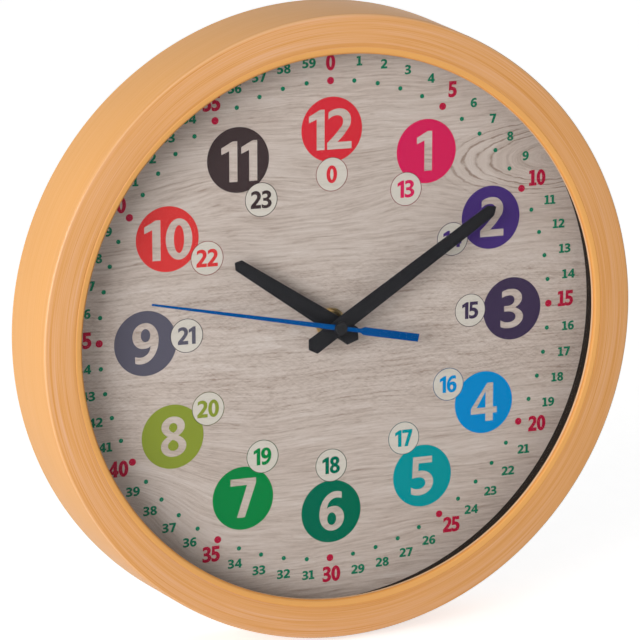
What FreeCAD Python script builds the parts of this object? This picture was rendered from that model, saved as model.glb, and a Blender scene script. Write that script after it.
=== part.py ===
import FreeCAD, Part
import math
import os

# Wall clock for learning the time: a round ring frame with a glass, a printed dial,
# three hands, and a battery movement whose gears turn them.
# Millimetres. The origin is on the hands' axis in the wall plane. Seen from the front,
# +X is right and +Z is up, and the clock faces -Y. A depth is a distance in front of the
# wall, so y = -depth. A dial angle runs clockwise from twelve, in degrees.

# Ring frame
frame_front_radius = 150.0
frame_side_flare = 2.5
frame_wall = 2.6
frame_shoulder_radius = 1.4
screw_channel_width = 6.7
bore_wall = 2.2
lip_overlap = 9.7
lip_thickness = 2.3
bevel_width = 2.7
bevel_drop = 1.3
face_slope_drop = 0.5
channel_roof = 2.6
boss_wall = 1.6
rib_thickness = 1.6
rib_count = 24

# What serves all pieces: how far a cut runs on, and how near an edge lies to its place
overrun = 5.0
edge_tolerance = 0.05

# Glass, spacer and dial
glass_thickness = 2.0
stack_clearance = 0.4
spacer_height = 15.0
spacer_width = 3.1
dial_thickness = 1.2
dial_hole_clearance = 0.1

# Print on the dial, laid on as thin coats
print_thickness = 0.1
hour_count = 12
minute_count = 60
minute_dot_radius = 0.9
five_minute_dot_radius = 1.75
minute_circle_inset = 14.9

# Back cover
cover_inset = 2.0
cover_thickness = 2.0
cover_edge_clearance = 0.4
press_wall = 1.8
keyhole_radius = 4.2
keyhole_inset = 33.8
keyhole_slot_width = 4.4
keyhole_slot_rise = 9.0
keyhole_rim_width = 2.4
keyhole_rim_height = 1.2
cover_rib_height = 8.0
cover_rib_thickness = 1.6
cover_rib_count = 8
movement_opening_clearance = 0.6

# Cover screws
screw_count = 6
screw_first_angle = 30.0
screw_head_radius = 2.5
screw_head_height = 1.5
screw_shank_radius = 1.4
screw_length = 10.0
screw_hole_clearance = 0.2
screw_slot_width = 0.7
screw_slot_depth = 0.6

# Battery
battery_radius = 7.25
battery_length = 50.5
battery_nub_radius = 2.75
battery_nub_length = 1.2
battery_edge_radius = 0.6
battery_clearance = 0.35
battery_recess = 0.25

# Movement case
wall_gap = 1.5
case_wall = 1.2
case_floor_clearance = 0.05
rear_case_height = 5.5
bush_radius = 4.0
bush_length = 6.5
bush_chamfer = 0.4
washer_thickness = 0.8
washer_radius = 9.0
nut_across_flats = 12.0
nut_height = 2.7
nut_washer_radius = 7.5
nut_washer_thickness = 0.5
thread_clearance = 0.05

# Shafts that carry the hands
running_clearance = 0.05
seconds_arbor_radius = 0.5
cannon_radius = 1.4
hour_pipe_radius = 2.55
pipe_end_proud = 0.3

# Gears: tooth counts, and tooth sizes as shares of the module or of the pitch
rotor_teeth = 8
fifth_teeth = 60
fifth_pinion_teeth = 8
seconds_teeth = 32
seconds_pinion_teeth = 8
third_teeth = 60
third_pinion_teeth = 8
centre_teeth = 64
cannon_teeth = 12
motion_teeth = 36
motion_pinion_teeth = 10
hour_teeth = 40
knob_pinion_teeth = 12
addendum_share = 0.85
dedendum_share = 1.15
root_tooth_share = 0.56
pitch_tooth_share = 0.42
tip_tooth_share = 0.20
cannon_root_margin = 0.055
arbor_radius = 0.4
arbor_gap = 0.4
pivot_depth = 0.5
pivot_clearance = 0.05
wheel_thickness = 0.7
motion_wheel_thickness = 0.6
hour_wheel_thickness = 0.8
pinion_end_gap = 0.1
layer_gap = 0.5
hour_wheel_end_gap = 0.7
motion_layer_gap = 0.6
cannon_pinion_lead = 0.3
clutch_thickness = 0.4
clutch_ring_width = 0.8
clutch_arm_width = 0.8
clutch_arm_count = 3
clutch_reach_share = 0.5
plate_gap = 0.4
lightening_count = 5
lightening_hole_share = 0.19
lightening_circle_share = 0.62

# Places of the arbors round the hands' axis, as dial angles
fifth_angle = 0.0
rotor_angle = 310.0
third_angle = 300.0
motion_angle = 60.0
knob_angle = 45.0

# Gear plate
plate_thickness = 1.0
plate_left = 15.5
plate_right = 19.0
plate_bottom = 9.0
plate_top = 17.2
plate_divider_gap = 1.4
pillar_radius = 1.1
pillar_inset = 1.4

# Stepping motor
magnet_radius = 1.9
magnet_height = 2.0
magnet_gap = 0.4
stator_thickness = 0.6
stator_rear_gap = 2.8
stator_bar_width = 6.0
stator_leg_width = 3.0
core_length = 27.0
core_thickness = 1.2
core_width = 2.0
bobbin_length = 20.0
bobbin_flange = 1.0
bobbin_flange_radius = 3.4
bobbin_tube_radius = 1.7
winding_radius = 3.2
coil_plate_gap = 0.9
coil_case_gap = 1.9
coil_post_radius = 1.0

# Circuit board
board_width = 11.0
board_height = 8.0
board_thickness = 0.8
board_post_height = 1.3
board_post_radius = 1.0
board_edge_gap = 0.4
chip_radius = 1.8
board_part_gap = 0.4
chip_height = 1.0
crystal_radius = 1.0
crystal_length = 6.0

# Battery contacts
contact_thickness = 0.4
contact_strip_height = 2.2
contact_plate_height = 11.0
contact_pad_radius = 2.6
contact_pad_height = 0.75
contact_gap = 0.4
contact_slot_clearance = 0.2

# Setting knob
knob_radius = 5.0
knob_thickness = 1.8
knob_pocket_clearance = 0.8
knob_floor_gap = 0.4
knob_flute_count = 24
knob_flute_radius = 0.35
knob_shaft_radius = 1.2

# Hands, with the places of their front faces in front of the dial
hour_hand_height = 8.5
minute_hand_height = 10.5
second_hand_height = 12.75
hand_thickness = 0.5
second_hand_thickness = 0.4
hour_hand_angle = 303.73
minute_hand_angle = 57.55
second_hand_angle = 281.42
hour_hand_shorter = 35.0
hour_hand_tip_point = 2.4
hour_hand_tip_width = 5.7
hour_hand_tail = 13.3
hour_hand_tail_point = 3.7
hour_hand_tail_width = 9.7
minute_hand_dot_gap = 18.9
minute_hand_tip_point = 3.3
minute_hand_tip_width = 6.2
minute_hand_tail = 18.2
minute_hand_tail_point = 2.6
minute_hand_tail_width = 8.5
hand_collar_height = 1.0
second_collar_height = 0.6
hand_collar_wall = 0.8
second_hand_dot_gap = 19.7
second_hand_tip_width = 1.0
second_hand_root_width = 2.5
second_hand_neck_width = 2.0
second_hand_hub_radius = 2.4
counterweight_start = 12.5
counterweight_end = 41.5
counterweight_width = 3.9
cap_radius = 3.2
cap_height = 1.0
cap_rounding = 0.4
cap_floor = 0.4

# Radii of the ring and of what fits in it, from the outside inwards
frame_back_radius = frame_front_radius + frame_side_flare
bore_outer_radius = frame_back_radius - frame_wall - screw_channel_width
bore_radius = bore_outer_radius - bore_wall
window_radius = bore_radius - lip_overlap
screw_circle = bore_outer_radius + screw_channel_width / 2
stack_radius = bore_radius - stack_clearance
spacer_window_radius = stack_radius - spacer_width
keyhole_height = stack_radius - press_wall - keyhole_inset
minute_circle_radius = window_radius - minute_circle_inset
minute_hand_tip = minute_circle_radius - minute_hand_dot_gap
hour_hand_tip = minute_hand_tip - hour_hand_shorter
second_hand_tip = minute_circle_radius - second_hand_dot_gap

# The printed discs as shares of the minute circle: radii, and x and z of the centres from
# twelve clockwise
hour_disc_radius_share = 0.1332
day_disc_radius_share = 0.0704
hour_disc_place_shares = [
    (0.006, 0.801), (0.428, 0.685), (0.725, 0.388), (0.829, -0.008),
    (0.702, -0.401), (0.420, -0.691), (0.005, -0.800), (-0.388, -0.702),
    (-0.692, -0.412), (-0.804, -0.016), (-0.707, 0.402), (-0.402, 0.702),
]
day_disc_place_shares = [
    (0.006, 0.617), (0.337, 0.534), (0.550, 0.309), (0.635, 0.0),
    (0.537, -0.308), (0.334, -0.520), (0.005, -0.603), (-0.301, -0.534),
    (-0.538, -0.310), (-0.628, 0.001), (-0.538, 0.312), (-0.303, 0.534),
]

hour_disc_radius = minute_circle_radius * hour_disc_radius_share
day_disc_radius = minute_circle_radius * day_disc_radius_share

# Depths of the stack, from the wall to the front
movement_depth = battery_recess + 2 * battery_radius + case_floor_clearance + case_wall
movement_front = wall_gap + movement_depth
dial_rear = movement_front + washer_thickness
dial_face = dial_rear + dial_thickness
glass_rear = dial_face + spacer_height
glass_front = glass_rear + glass_thickness
bevel_foot = glass_front + lip_thickness
bevel_top = bevel_foot + bevel_drop
frame_depth = bevel_top + face_slope_drop
cover_rear = cover_inset
cover_front = cover_rear + cover_thickness
cap_rear = dial_face + second_hand_height

# Depths in the movement, counted back from its front wall
case_front_inner = movement_front - case_wall
case_rear_inner = wall_gap + case_wall
case_seam = wall_gap + rear_case_height
hour_wheel_front = case_front_inner - hour_wheel_end_gap
hour_wheel_rear = hour_wheel_front - hour_wheel_thickness
motion_wheel_front = hour_wheel_rear - motion_layer_gap
motion_wheel_rear = motion_wheel_front - motion_wheel_thickness
cannon_pinion_rear = motion_wheel_rear - cannon_pinion_lead
clutch_rear = cannon_pinion_rear - clutch_thickness
centre_wheel_rear = clutch_rear - wheel_thickness
third_wheel_rear = centre_wheel_rear - layer_gap - wheel_thickness
seconds_wheel_rear = third_wheel_rear - layer_gap - wheel_thickness
fifth_wheel_rear = seconds_wheel_rear - layer_gap - wheel_thickness
plate_front = fifth_wheel_rear - plate_gap
plate_rear = plate_front - plate_thickness
stator_rear = case_rear_inner + stator_rear_gap
stator_front = stator_rear + stator_thickness
core_front = stator_front + core_thickness
coil_depth = stator_front + core_thickness / 2

# Gear sizes and arbor places, worked out from the minute hand's pipe outwards
motion_module = (cannon_radius + cannon_root_margin) / (cannon_teeth / 2 - dedendum_share)
motion_distance = motion_module * (cannon_teeth + motion_teeth) / 2
hour_module = 2 * motion_distance / (motion_pinion_teeth + hour_teeth)
hour_tip_radius = hour_module * (hour_teeth / 2 + addendum_share)
third_distance = hour_tip_radius + arbor_radius + arbor_gap
train_module = 2 * third_distance / (seconds_pinion_teeth + third_teeth)
centre_module = 2 * third_distance / (third_pinion_teeth + centre_teeth)
centre_tip_radius = centre_module * (centre_teeth / 2 + addendum_share)
fifth_distance = centre_tip_radius + arbor_radius + arbor_gap
seconds_module = 2 * fifth_distance / (fifth_pinion_teeth + seconds_teeth)
rotor_distance = train_module * (rotor_teeth + fifth_teeth) / 2
knob_distance = motion_module * (motion_teeth + knob_pinion_teeth) / 2


def on_dial(radius, angle, centre=(0, 0)):
    """Give x and z of the place at this dial angle and radius round a centre."""
    turn = math.radians(angle)
    return centre[0] + radius * math.sin(turn), centre[1] + radius * math.cos(turn)


hands_axis = (0, 0)
fifth_axis = on_dial(fifth_distance, fifth_angle)
rotor_axis = on_dial(rotor_distance, rotor_angle, fifth_axis)
third_axis = on_dial(third_distance, third_angle)
motion_axis = on_dial(motion_distance, motion_angle)
knob_axis = on_dial(knob_distance, knob_angle, motion_axis)

# Outline of the movement and its rooms: the cell and its contacts set the width, and the
# gear plate with the cell below and the coil above sets the height
case_inner_half = battery_length / 2 + contact_pad_height + contact_thickness + contact_gap
case_half = case_inner_half + case_wall
battery_room = 2 * (battery_radius + battery_clearance)
divider_top = -plate_bottom - plate_divider_gap
divider_bottom = divider_top - case_wall
case_inner_bottom = divider_bottom - battery_room
case_bottom = case_inner_bottom - case_wall
battery_axis_z = case_inner_bottom + battery_room / 2
coil_height = plate_top + coil_plate_gap + bobbin_flange_radius
case_inner_top = coil_height + bobbin_flange_radius + coil_case_gap
case_top = case_inner_top + case_wall
battery_axis_depth = case_front_inner - case_floor_clearance - battery_radius


# Basic solids
def rod(radius, rear, front, centre=hands_axis):
    """Make a solid cylinder between two depths."""
    base = FreeCAD.Vector(centre[0], -rear, centre[1])
    return Part.makeCylinder(radius, front - rear, base, FreeCAD.Vector(0, -1, 0))


def tube(outer, inner, rear, front, centre=hands_axis):
    """Make a ring between two depths."""
    hole = rod(inner, rear - overrun, front + overrun, centre)
    return rod(outer, rear, front, centre).cut(hole)


def block(left, right, bottom, top, rear, front):
    """Make a box from its sides, seen from the front, and its depths."""
    corner = FreeCAD.Vector(left, -front, bottom)
    return Part.makeBox(right - left, front - rear, top - bottom, corner)


def flat(points, rear, front):
    """Make a plate of the outline's x and z points, between two depths."""
    corners = [FreeCAD.Vector(x, -rear, z) for x, z in points]
    outline = Part.makePolygon(corners + corners[:1])
    return Part.Face(outline).extrude(FreeCAD.Vector(0, rear - front, 0))


def turned(profile):
    """Turn a closed outline of radius and depth points round the hands' axis."""
    corners = [FreeCAD.Vector(radius, -depth, 0) for radius, depth in profile]
    face = Part.Face(Part.makePolygon(corners + corners[:1]))
    return face.revolve(FreeCAD.Vector(0, 0, 0), FreeCAD.Vector(0, 1, 0), 360)


def joined(solids):
    """Join solids into one and tidy the seams."""
    whole = solids[0]
    for solid in solids[1:]:
        whole = whole.fuse(solid)
    return whole.removeSplitter()


def turn(shape, angle, centre=hands_axis):
    """Turn a copy of a shape clockwise on the dial, in place."""
    copy = shape.copy()
    copy.rotate(FreeCAD.Vector(centre[0], 0, centre[1]), FreeCAD.Vector(0, 1, 0), angle)
    return copy


def save(name, shape):
    """Write one node."""
    shape.exportStep("parts/" + name + ".step")


# Frame, glass, spacer and dial
def side_radius(depth):
    """Give the outer radius of the tapered side at a depth."""
    taper = frame_back_radius - frame_front_radius
    return frame_back_radius - taper * depth / frame_depth


def make_frame_ring():
    """Make the ring: side wall, front, bore wall, ribs and screw bosses."""
    roof = glass_front + lip_thickness + bevel_drop - channel_roof
    face_inner = window_radius + bevel_width
    profile = [
        (frame_back_radius, 0),
        (side_radius(frame_depth), frame_depth),
        (face_inner, bevel_top),
        (window_radius, bevel_foot),
        (window_radius, glass_front),
        (bore_radius, glass_front),
        (bore_radius, cover_front),
        (bore_outer_radius, cover_front),
        (bore_outer_radius, roof),
        (side_radius(roof) - frame_wall, roof),
        (frame_back_radius - frame_wall, 0),
    ]
    ring = turned(profile)
    shoulder = [
        edge for edge in ring.Edges
        if abs(edge.BoundBox.YMin + frame_depth) < edge_tolerance
        and abs(edge.BoundBox.XMax - frame_front_radius) < edge_tolerance
    ]
    ring = ring.makeFillet(frame_shoulder_radius, shoulder)
    additions = []
    inner = bore_outer_radius - bore_wall / 2
    outer = side_radius(roof) - frame_wall / 2
    for index in range(rib_count):
        half = rib_thickness / 2
        rib = block(-half, half, inner, outer, cover_front, roof + channel_roof / 2)
        additions.append(turn(rib, (index + 1 / 2) * 360 / rib_count))
    for index in range(screw_count):
        half = screw_shank_radius + boss_wall
        boss = block(-half, half, inner, outer, cover_front, roof + channel_roof / 2)
        additions.append(turn(boss, screw_first_angle + index * 360 / screw_count))
    ring = joined([ring] + additions)
    for index in range(screw_count):
        place = on_dial(screw_circle, screw_first_angle + index * 360 / screw_count)
        end = cover_rear + screw_length + overrun
        ring = ring.cut(rod(screw_shank_radius, 0, end, place))
    return ring


def make_dial_plate():
    """Make the dial with its hole for the movement's bush."""
    return tube(stack_radius, bush_radius + dial_hole_clearance, dial_rear, dial_face)


def disc_place(shares):
    """Give x and z of a printed disc's centre from its shares of the minute circle."""
    return shares[0] * minute_circle_radius, shares[1] * minute_circle_radius


def make_hour_discs():
    """Make the big printed discs, each bitten by the small disc beside it."""
    discs = []
    for hour in range(hour_count):
        big = rod(hour_disc_radius, dial_face, dial_face + print_thickness,
                  disc_place(hour_disc_place_shares[hour]))
        small = rod(day_disc_radius, dial_rear, dial_face + overrun,
                    disc_place(day_disc_place_shares[hour]))
        discs.append(big.cut(small))
    return Part.makeCompound(discs)


def make_day_discs():
    """Make the small printed discs of the hours after noon."""
    return Part.makeCompound(
        [rod(day_disc_radius, dial_face, dial_face + print_thickness, disc_place(shares))
         for shares in day_disc_place_shares])


def make_minute_dots(fives):
    """Make the printed minute dots: those at each five minutes, or all others."""
    step = minute_count // hour_count
    radius = five_minute_dot_radius if fives else minute_dot_radius
    dots = []
    for minute in range(minute_count):
        if (minute % step == 0) == fives:
            place = on_dial(minute_circle_radius, minute * 360 / minute_count)
            dots.append(rod(radius, dial_face, dial_face + print_thickness, place))
    return Part.makeCompound(dots)


# Back cover and its screws
def keyhole(grow, rear, front):
    """Make the keyhole's outline as a solid, grown all round by a margin."""
    round_end = rod(keyhole_radius + grow, rear, front, (0, keyhole_height))
    half = keyhole_slot_width / 2 + grow
    slot_top = keyhole_height + keyhole_slot_rise
    neck = block(-half, half, keyhole_height, slot_top, rear, front)
    neck_end = rod(half, rear, front, (0, slot_top))
    return joined([round_end, neck, neck_end])


def make_back_cover():
    """Make the cover: plate, wall that holds the dial, ribs, keyhole and openings."""
    opening = case_half + movement_opening_clearance
    opening_bottom = case_bottom - movement_opening_clearance
    opening_top = case_top + movement_opening_clearance
    edge_radius = frame_back_radius - frame_wall - cover_edge_clearance
    plate = rod(edge_radius, cover_rear, cover_front)
    pressing = tube(stack_radius, stack_radius - press_wall, cover_front, dial_rear)
    rib_inner = math.hypot(opening, max(opening_top, -opening_bottom))
    ribs = []
    for index in range(cover_rib_count):
        half = cover_rib_thickness / 2
        rib = block(-half, half, rib_inner, stack_radius - press_wall / 2,
                    cover_rear + cover_thickness / 2, cover_front + cover_rib_height)
        ribs.append(turn(rib, (index + 1 / 2) * 360 / cover_rib_count))
    rim = keyhole(keyhole_rim_width, cover_front, cover_front + keyhole_rim_height)
    cover = joined([plate, pressing, rim] + ribs)
    cover = cover.cut(keyhole(0, cover_rear - overrun, cover_front + overrun))
    cover = cover.cut(block(-opening, opening, opening_bottom, opening_top,
                            cover_rear - overrun, cover_front + overrun))
    for index in range(screw_count):
        place = on_dial(screw_circle, screw_first_angle + index * 360 / screw_count)
        hole = rod(screw_shank_radius + screw_hole_clearance, 0, cover_front + overrun, place)
        cover = cover.cut(hole)
    return cover


def make_cover_screws():
    """Make the screws that hold the cover to the ring."""
    screws = []
    head_rear = cover_rear - screw_head_height
    for index in range(screw_count):
        place = on_dial(screw_circle, screw_first_angle + index * 360 / screw_count)
        head = rod(screw_head_radius, head_rear, cover_rear, place)
        shank = rod(screw_shank_radius, cover_rear, cover_rear + screw_length, place)
        screw = joined([head, shank])
        half = screw_slot_width / 2
        for angle in (0, 90):
            slot = block(place[0] - half, place[0] + half,
                         place[1] - screw_shank_radius, place[1] + screw_shank_radius,
                         0, head_rear + screw_slot_depth)
            screw = screw.cut(turn(slot, angle, place))
        screws.append(screw)
    return Part.makeCompound(screws)


# Gears
def gear(teeth, module, rear, front, centre, phase):
    """Make a spur gear with a tooth at the dial angle of its phase."""
    pitch_radius = teeth * module / 2
    rings = [
        (pitch_radius - dedendum_share * module, root_tooth_share),
        (pitch_radius, pitch_tooth_share),
        (pitch_radius + addendum_share * module, tip_tooth_share),
    ]
    step = 360 / teeth
    points = []
    for index in range(teeth):
        middle = phase + index * step
        for radius, share in rings:
            half = share * step / 2 * min(1, pitch_radius / radius)
            points.append(on_dial(radius, middle - half, centre))
        for radius, share in reversed(rings):
            half = share * step / 2 * min(1, pitch_radius / radius)
            points.append(on_dial(radius, middle + half, centre))
    return flat(points, rear, front)


def meshed_phase(phase, teeth, direction, other_teeth):
    """Give the phase of a gear in mesh with one whose phase, teeth and direction are known."""
    along = ((direction - phase) * teeth / 360) % 1
    return direction + 180 + (along - 1 / 2) * 360 / other_teeth


def lightened(wheel, pitch_radius, rear, front, centre, phase):
    """Cut round holes in a wheel's web."""
    for index in range(lightening_count):
        place = on_dial(pitch_radius * lightening_circle_share,
                        phase + index * 360 / lightening_count, centre)
        hole = rod(pitch_radius * lightening_hole_share, rear - overrun, front + overrun, place)
        wheel = wheel.cut(hole)
    return wheel


def make_seconds_wheel():
    """Make the seconds wheel with its pinion and the arbor that carries the second hand."""
    rear = seconds_wheel_rear
    front = rear + wheel_thickness
    direction = fifth_angle
    phase = meshed_phase(direction + 180, fifth_pinion_teeth, direction + 180, seconds_teeth)
    wheel = gear(seconds_teeth, seconds_module, rear, front, hands_axis, phase)
    wheel = lightened(wheel, seconds_teeth * seconds_module / 2, rear, front, hands_axis, 0)
    pinion_front = third_wheel_rear + wheel_thickness + pinion_end_gap
    pinion = gear(seconds_pinion_teeth, train_module, front, pinion_front,
                  hands_axis, third_angle)
    arbor_end = cap_rear + cap_height - cap_floor
    arbor = rod(seconds_arbor_radius, plate_rear, arbor_end)
    return joined([wheel, pinion, arbor])


def make_rotor_pinion():
    """Make the rotor's arbor and pinion."""
    direction = rotor_angle + 180
    pinion = gear(rotor_teeth, train_module, fifth_wheel_rear - pinion_end_gap,
                  fifth_wheel_rear + wheel_thickness + pinion_end_gap, rotor_axis, direction)
    arbor = rod(arbor_radius, case_rear_inner - pivot_depth,
                case_front_inner + pivot_depth, rotor_axis)
    return joined([pinion, arbor])


def make_rotor_magnet():
    """Make the rotor's ring magnet, centred in the stator's thickness."""
    middle = (stator_rear + stator_front) / 2
    return tube(magnet_radius, arbor_radius, middle - magnet_height / 2,
                middle + magnet_height / 2, rotor_axis)


def make_fifth_wheel():
    """Make the fifth wheel, which the rotor drives, with its pinion and arbor."""
    rear = fifth_wheel_rear
    front = rear + wheel_thickness
    phase = meshed_phase(rotor_angle + 180, rotor_teeth, rotor_angle + 180, fifth_teeth)
    wheel = gear(fifth_teeth, train_module, rear, front, fifth_axis, phase)
    wheel = lightened(wheel, fifth_teeth * train_module / 2, rear, front, fifth_axis, 0)
    pinion_front = seconds_wheel_rear + wheel_thickness + pinion_end_gap
    pinion = gear(fifth_pinion_teeth, seconds_module, front, pinion_front,
                  fifth_axis, fifth_angle + 180)
    arbor = rod(arbor_radius, plate_rear, case_front_inner + pivot_depth, fifth_axis)
    return joined([wheel, pinion, arbor])


def make_third_wheel():
    """Make the third wheel with its pinion and arbor."""
    rear = third_wheel_rear
    front = rear + wheel_thickness
    phase = meshed_phase(third_angle, seconds_pinion_teeth, third_angle, third_teeth)
    wheel = gear(third_teeth, train_module, rear, front, third_axis, phase)
    wheel = lightened(wheel, third_teeth * train_module / 2, rear, front, third_axis, 0)
    pinion_front = centre_wheel_rear + wheel_thickness + pinion_end_gap
    pinion = gear(third_pinion_teeth, centre_module, front, pinion_front,
                  third_axis, third_angle + 180)
    arbor = rod(arbor_radius, plate_rear, case_front_inner + pivot_depth, third_axis)
    return joined([wheel, pinion, arbor])


def make_centre_wheel():
    """Make the centre wheel, which turns freely on the minute hand's pipe."""
    rear = centre_wheel_rear
    front = rear + wheel_thickness
    phase = meshed_phase(third_angle + 180, third_pinion_teeth, third_angle + 180, centre_teeth)
    wheel = gear(centre_teeth, centre_module, rear, front, hands_axis, phase)
    wheel = lightened(wheel, centre_teeth * centre_module / 2, rear, front, hands_axis, 0)
    return wheel.cut(rod(cannon_radius + running_clearance, rear - overrun, front + overrun))


def make_clutch_spring():
    """Make the three-armed spring that lets the hands slip on the centre wheel."""
    rear = clutch_rear
    front = cannon_pinion_rear
    solids = [rod(cannon_radius + clutch_ring_width, rear, front)]
    half = clutch_arm_width / 2
    reach = centre_tip_radius * clutch_reach_share
    for index in range(clutch_arm_count):
        arm = block(-half, half, 0, reach, rear, front)
        solids.append(turn(arm, index * 360 / clutch_arm_count))
    spring = joined(solids)
    return spring.cut(rod(cannon_radius, rear - overrun, front + overrun))


def make_minute_cannon():
    """Make the minute hand's pipe with the pinion that drives the motion work."""
    pinion = gear(cannon_teeth, motion_module, cannon_pinion_rear,
                  motion_wheel_front + pinion_end_gap, hands_axis, motion_angle)
    pipe = rod(cannon_radius, centre_wheel_rear - pinion_end_gap,
               dial_face + minute_hand_height + pipe_end_proud)
    cannon = joined([pinion, pipe])
    bore = rod(seconds_arbor_radius + running_clearance, 0, glass_front)
    return cannon.cut(bore)


def motion_phase():
    """Give the phase of the motion wheel, in mesh with the minute pinion."""
    return meshed_phase(motion_angle, cannon_teeth, motion_angle, motion_teeth)


def make_motion_wheel():
    """Make the motion wheel with its pinion and arbor."""
    rear = motion_wheel_rear
    front = motion_wheel_front
    wheel = gear(motion_teeth, motion_module, rear, front, motion_axis, motion_phase())
    wheel = lightened(wheel, motion_teeth * motion_module / 2, rear, front, motion_axis, 0)
    pinion = gear(motion_pinion_teeth, hour_module, front,
                  hour_wheel_front + pinion_end_gap, motion_axis, motion_angle + 180)
    arbor = rod(arbor_radius, plate_rear, case_front_inner + pivot_depth, motion_axis)
    return joined([wheel, pinion, arbor])


def make_hour_wheel():
    """Make the hour wheel with the pipe that carries the hour hand."""
    rear = hour_wheel_rear
    front = hour_wheel_front
    phase = meshed_phase(motion_angle + 180, motion_pinion_teeth, motion_angle + 180, hour_teeth)
    wheel = gear(hour_teeth, hour_module, rear, front, hands_axis, phase)
    pipe = rod(hour_pipe_radius, rear, dial_face + hour_hand_height + pipe_end_proud)
    whole = joined([wheel, pipe])
    return whole.cut(rod(cannon_radius + running_clearance, 0, glass_front))


def make_setting_knob():
    """Make the fluted knob at the back with its shaft and pinion."""
    rear = knob_rear
    knob = rod(knob_radius, rear, rear + knob_thickness, knob_axis)
    for index in range(knob_flute_count):
        place = on_dial(knob_radius, index * 360 / knob_flute_count, knob_axis)
        knob = knob.cut(rod(knob_flute_radius, rear - overrun,
                            rear + knob_thickness + overrun, place))
    shaft = rod(knob_shaft_radius, rear + knob_thickness, cannon_pinion_rear, knob_axis)
    phase = meshed_phase(motion_phase(), motion_teeth, knob_angle, knob_pinion_teeth)
    pinion = gear(knob_pinion_teeth, motion_module, cannon_pinion_rear,
                  motion_wheel_front + pinion_end_gap, knob_axis, phase)
    pivot = rod(arbor_radius, cannon_pinion_rear, case_front_inner + pivot_depth, knob_axis)
    return joined([knob, shaft, pinion, pivot])


# Movement case and gear plate
knob_pocket_radius = knob_radius + knob_pocket_clearance
knob_rear = wall_gap
knob_pocket_floor = knob_rear + knob_thickness + knob_floor_gap
pillar_places = [
    (-plate_left + pillar_inset, -plate_bottom + pillar_inset),
    (plate_right - pillar_inset, -plate_bottom + pillar_inset),
    (-plate_left + pillar_inset, plate_top - pillar_inset),
    (plate_right - pillar_inset, plate_top - pillar_inset),
]
pivots = [fifth_axis, third_axis, motion_axis]


def make_front_case():
    """Make the front case: tray, battery room, pillars, pivot holes and threaded bush."""
    outer = block(-case_half, case_half, case_bottom, case_top, wall_gap, movement_front)
    gear_room = block(-case_inner_half, case_inner_half, divider_top, case_inner_top,
                      wall_gap - overrun, case_front_inner)
    battery_hollow = block(-case_inner_half, case_inner_half, case_inner_bottom,
                           divider_bottom, wall_gap - overrun, case_front_inner)
    rear_room = block(-case_half - overrun, case_half + overrun, divider_top,
                      case_top + overrun, wall_gap - overrun, case_seam)
    case = outer.cut(gear_room).cut(battery_hollow).cut(rear_room)
    for side in (-1, 1):
        middle = side * (case_inner_half - contact_gap - contact_thickness / 2)
        half = contact_thickness / 2 + contact_slot_clearance
        case = case.cut(block(middle - half, middle + half, divider_bottom - overrun,
                              divider_top + overrun, wall_gap - overrun,
                              board_front + contact_strip_height + contact_slot_clearance))
    bush = rod(bush_radius, case_front_inner, movement_front + bush_length)
    rim = bush.Edges[0]
    for edge in bush.Edges:
        if edge.BoundBox.YMax < rim.BoundBox.YMax:
            rim = edge
    bush = bush.makeChamfer(bush_chamfer, [rim])
    pillars = [rod(pillar_radius, plate_front, case_front_inner + case_wall / 2, place)
               for place in pillar_places]
    case = joined([case, bush] + pillars)
    case = case.cut(rod(hour_pipe_radius + running_clearance, wall_gap,
                        movement_front + bush_length + overrun))
    for place in pivots + [rotor_axis, knob_axis]:
        case = case.cut(rod(arbor_radius + pivot_clearance, case_front_inner - overrun,
                            case_front_inner + pivot_depth + pivot_clearance, place))
    return case


def make_rear_case():
    """Make the rear case: tray over the gears, knob pocket, posts and pivot hole."""
    outer = block(-case_half, case_half, divider_top, case_top, wall_gap, case_seam)
    room = block(-case_inner_half, case_inner_half, divider_top + case_wall,
                 case_inner_top, case_rear_inner, case_seam + overrun)
    case = outer.cut(room)
    for side in (-1, 1):
        middle = side * (case_inner_half - contact_gap - contact_thickness / 2)
        half = contact_thickness / 2 + contact_slot_clearance
        case = case.cut(block(middle - half, middle + half, divider_top - overrun,
                              divider_top + case_wall + contact_slot_clearance,
                              board_front - contact_slot_clearance, case_seam + overrun))
    pocket = rod(knob_pocket_radius + case_wall, case_rear_inner - case_wall / 2,
                 knob_pocket_floor + case_wall, knob_axis)
    posts = [rod(pillar_radius, case_rear_inner - case_wall / 2, plate_rear, place)
             for place in pillar_places]
    posts += [rod(coil_post_radius, case_rear_inner - case_wall / 2, stator_rear, place)
              for place in stator_post_places]
    posts += [rod(board_post_radius, case_rear_inner - case_wall / 2, board_rear, place)
              for place in board_post_places]
    case = joined([case, pocket] + posts)
    case = case.cut(rod(knob_pocket_radius, wall_gap - overrun, knob_pocket_floor, knob_axis))
    case = case.cut(rod(knob_shaft_radius + running_clearance, wall_gap,
                        case_seam, knob_axis))
    return case.cut(rod(arbor_radius + pivot_clearance,
                        case_rear_inner - pivot_depth - pivot_clearance,
                        case_rear_inner + overrun, rotor_axis))


def make_gear_plate():
    """Make the plate that carries the rear pivots of the train."""
    plate = block(-plate_left, plate_right, -plate_bottom, plate_top, plate_rear, plate_front)
    holes = [(place, arbor_radius + pivot_clearance) for place in pivots + [rotor_axis]]
    holes.append((hands_axis, seconds_arbor_radius + running_clearance))
    holes.append((knob_axis, knob_shaft_radius + running_clearance))
    for place, radius in holes:
        plate = plate.cut(rod(radius, plate_rear - overrun, plate_front + overrun, place))
    return plate


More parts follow.
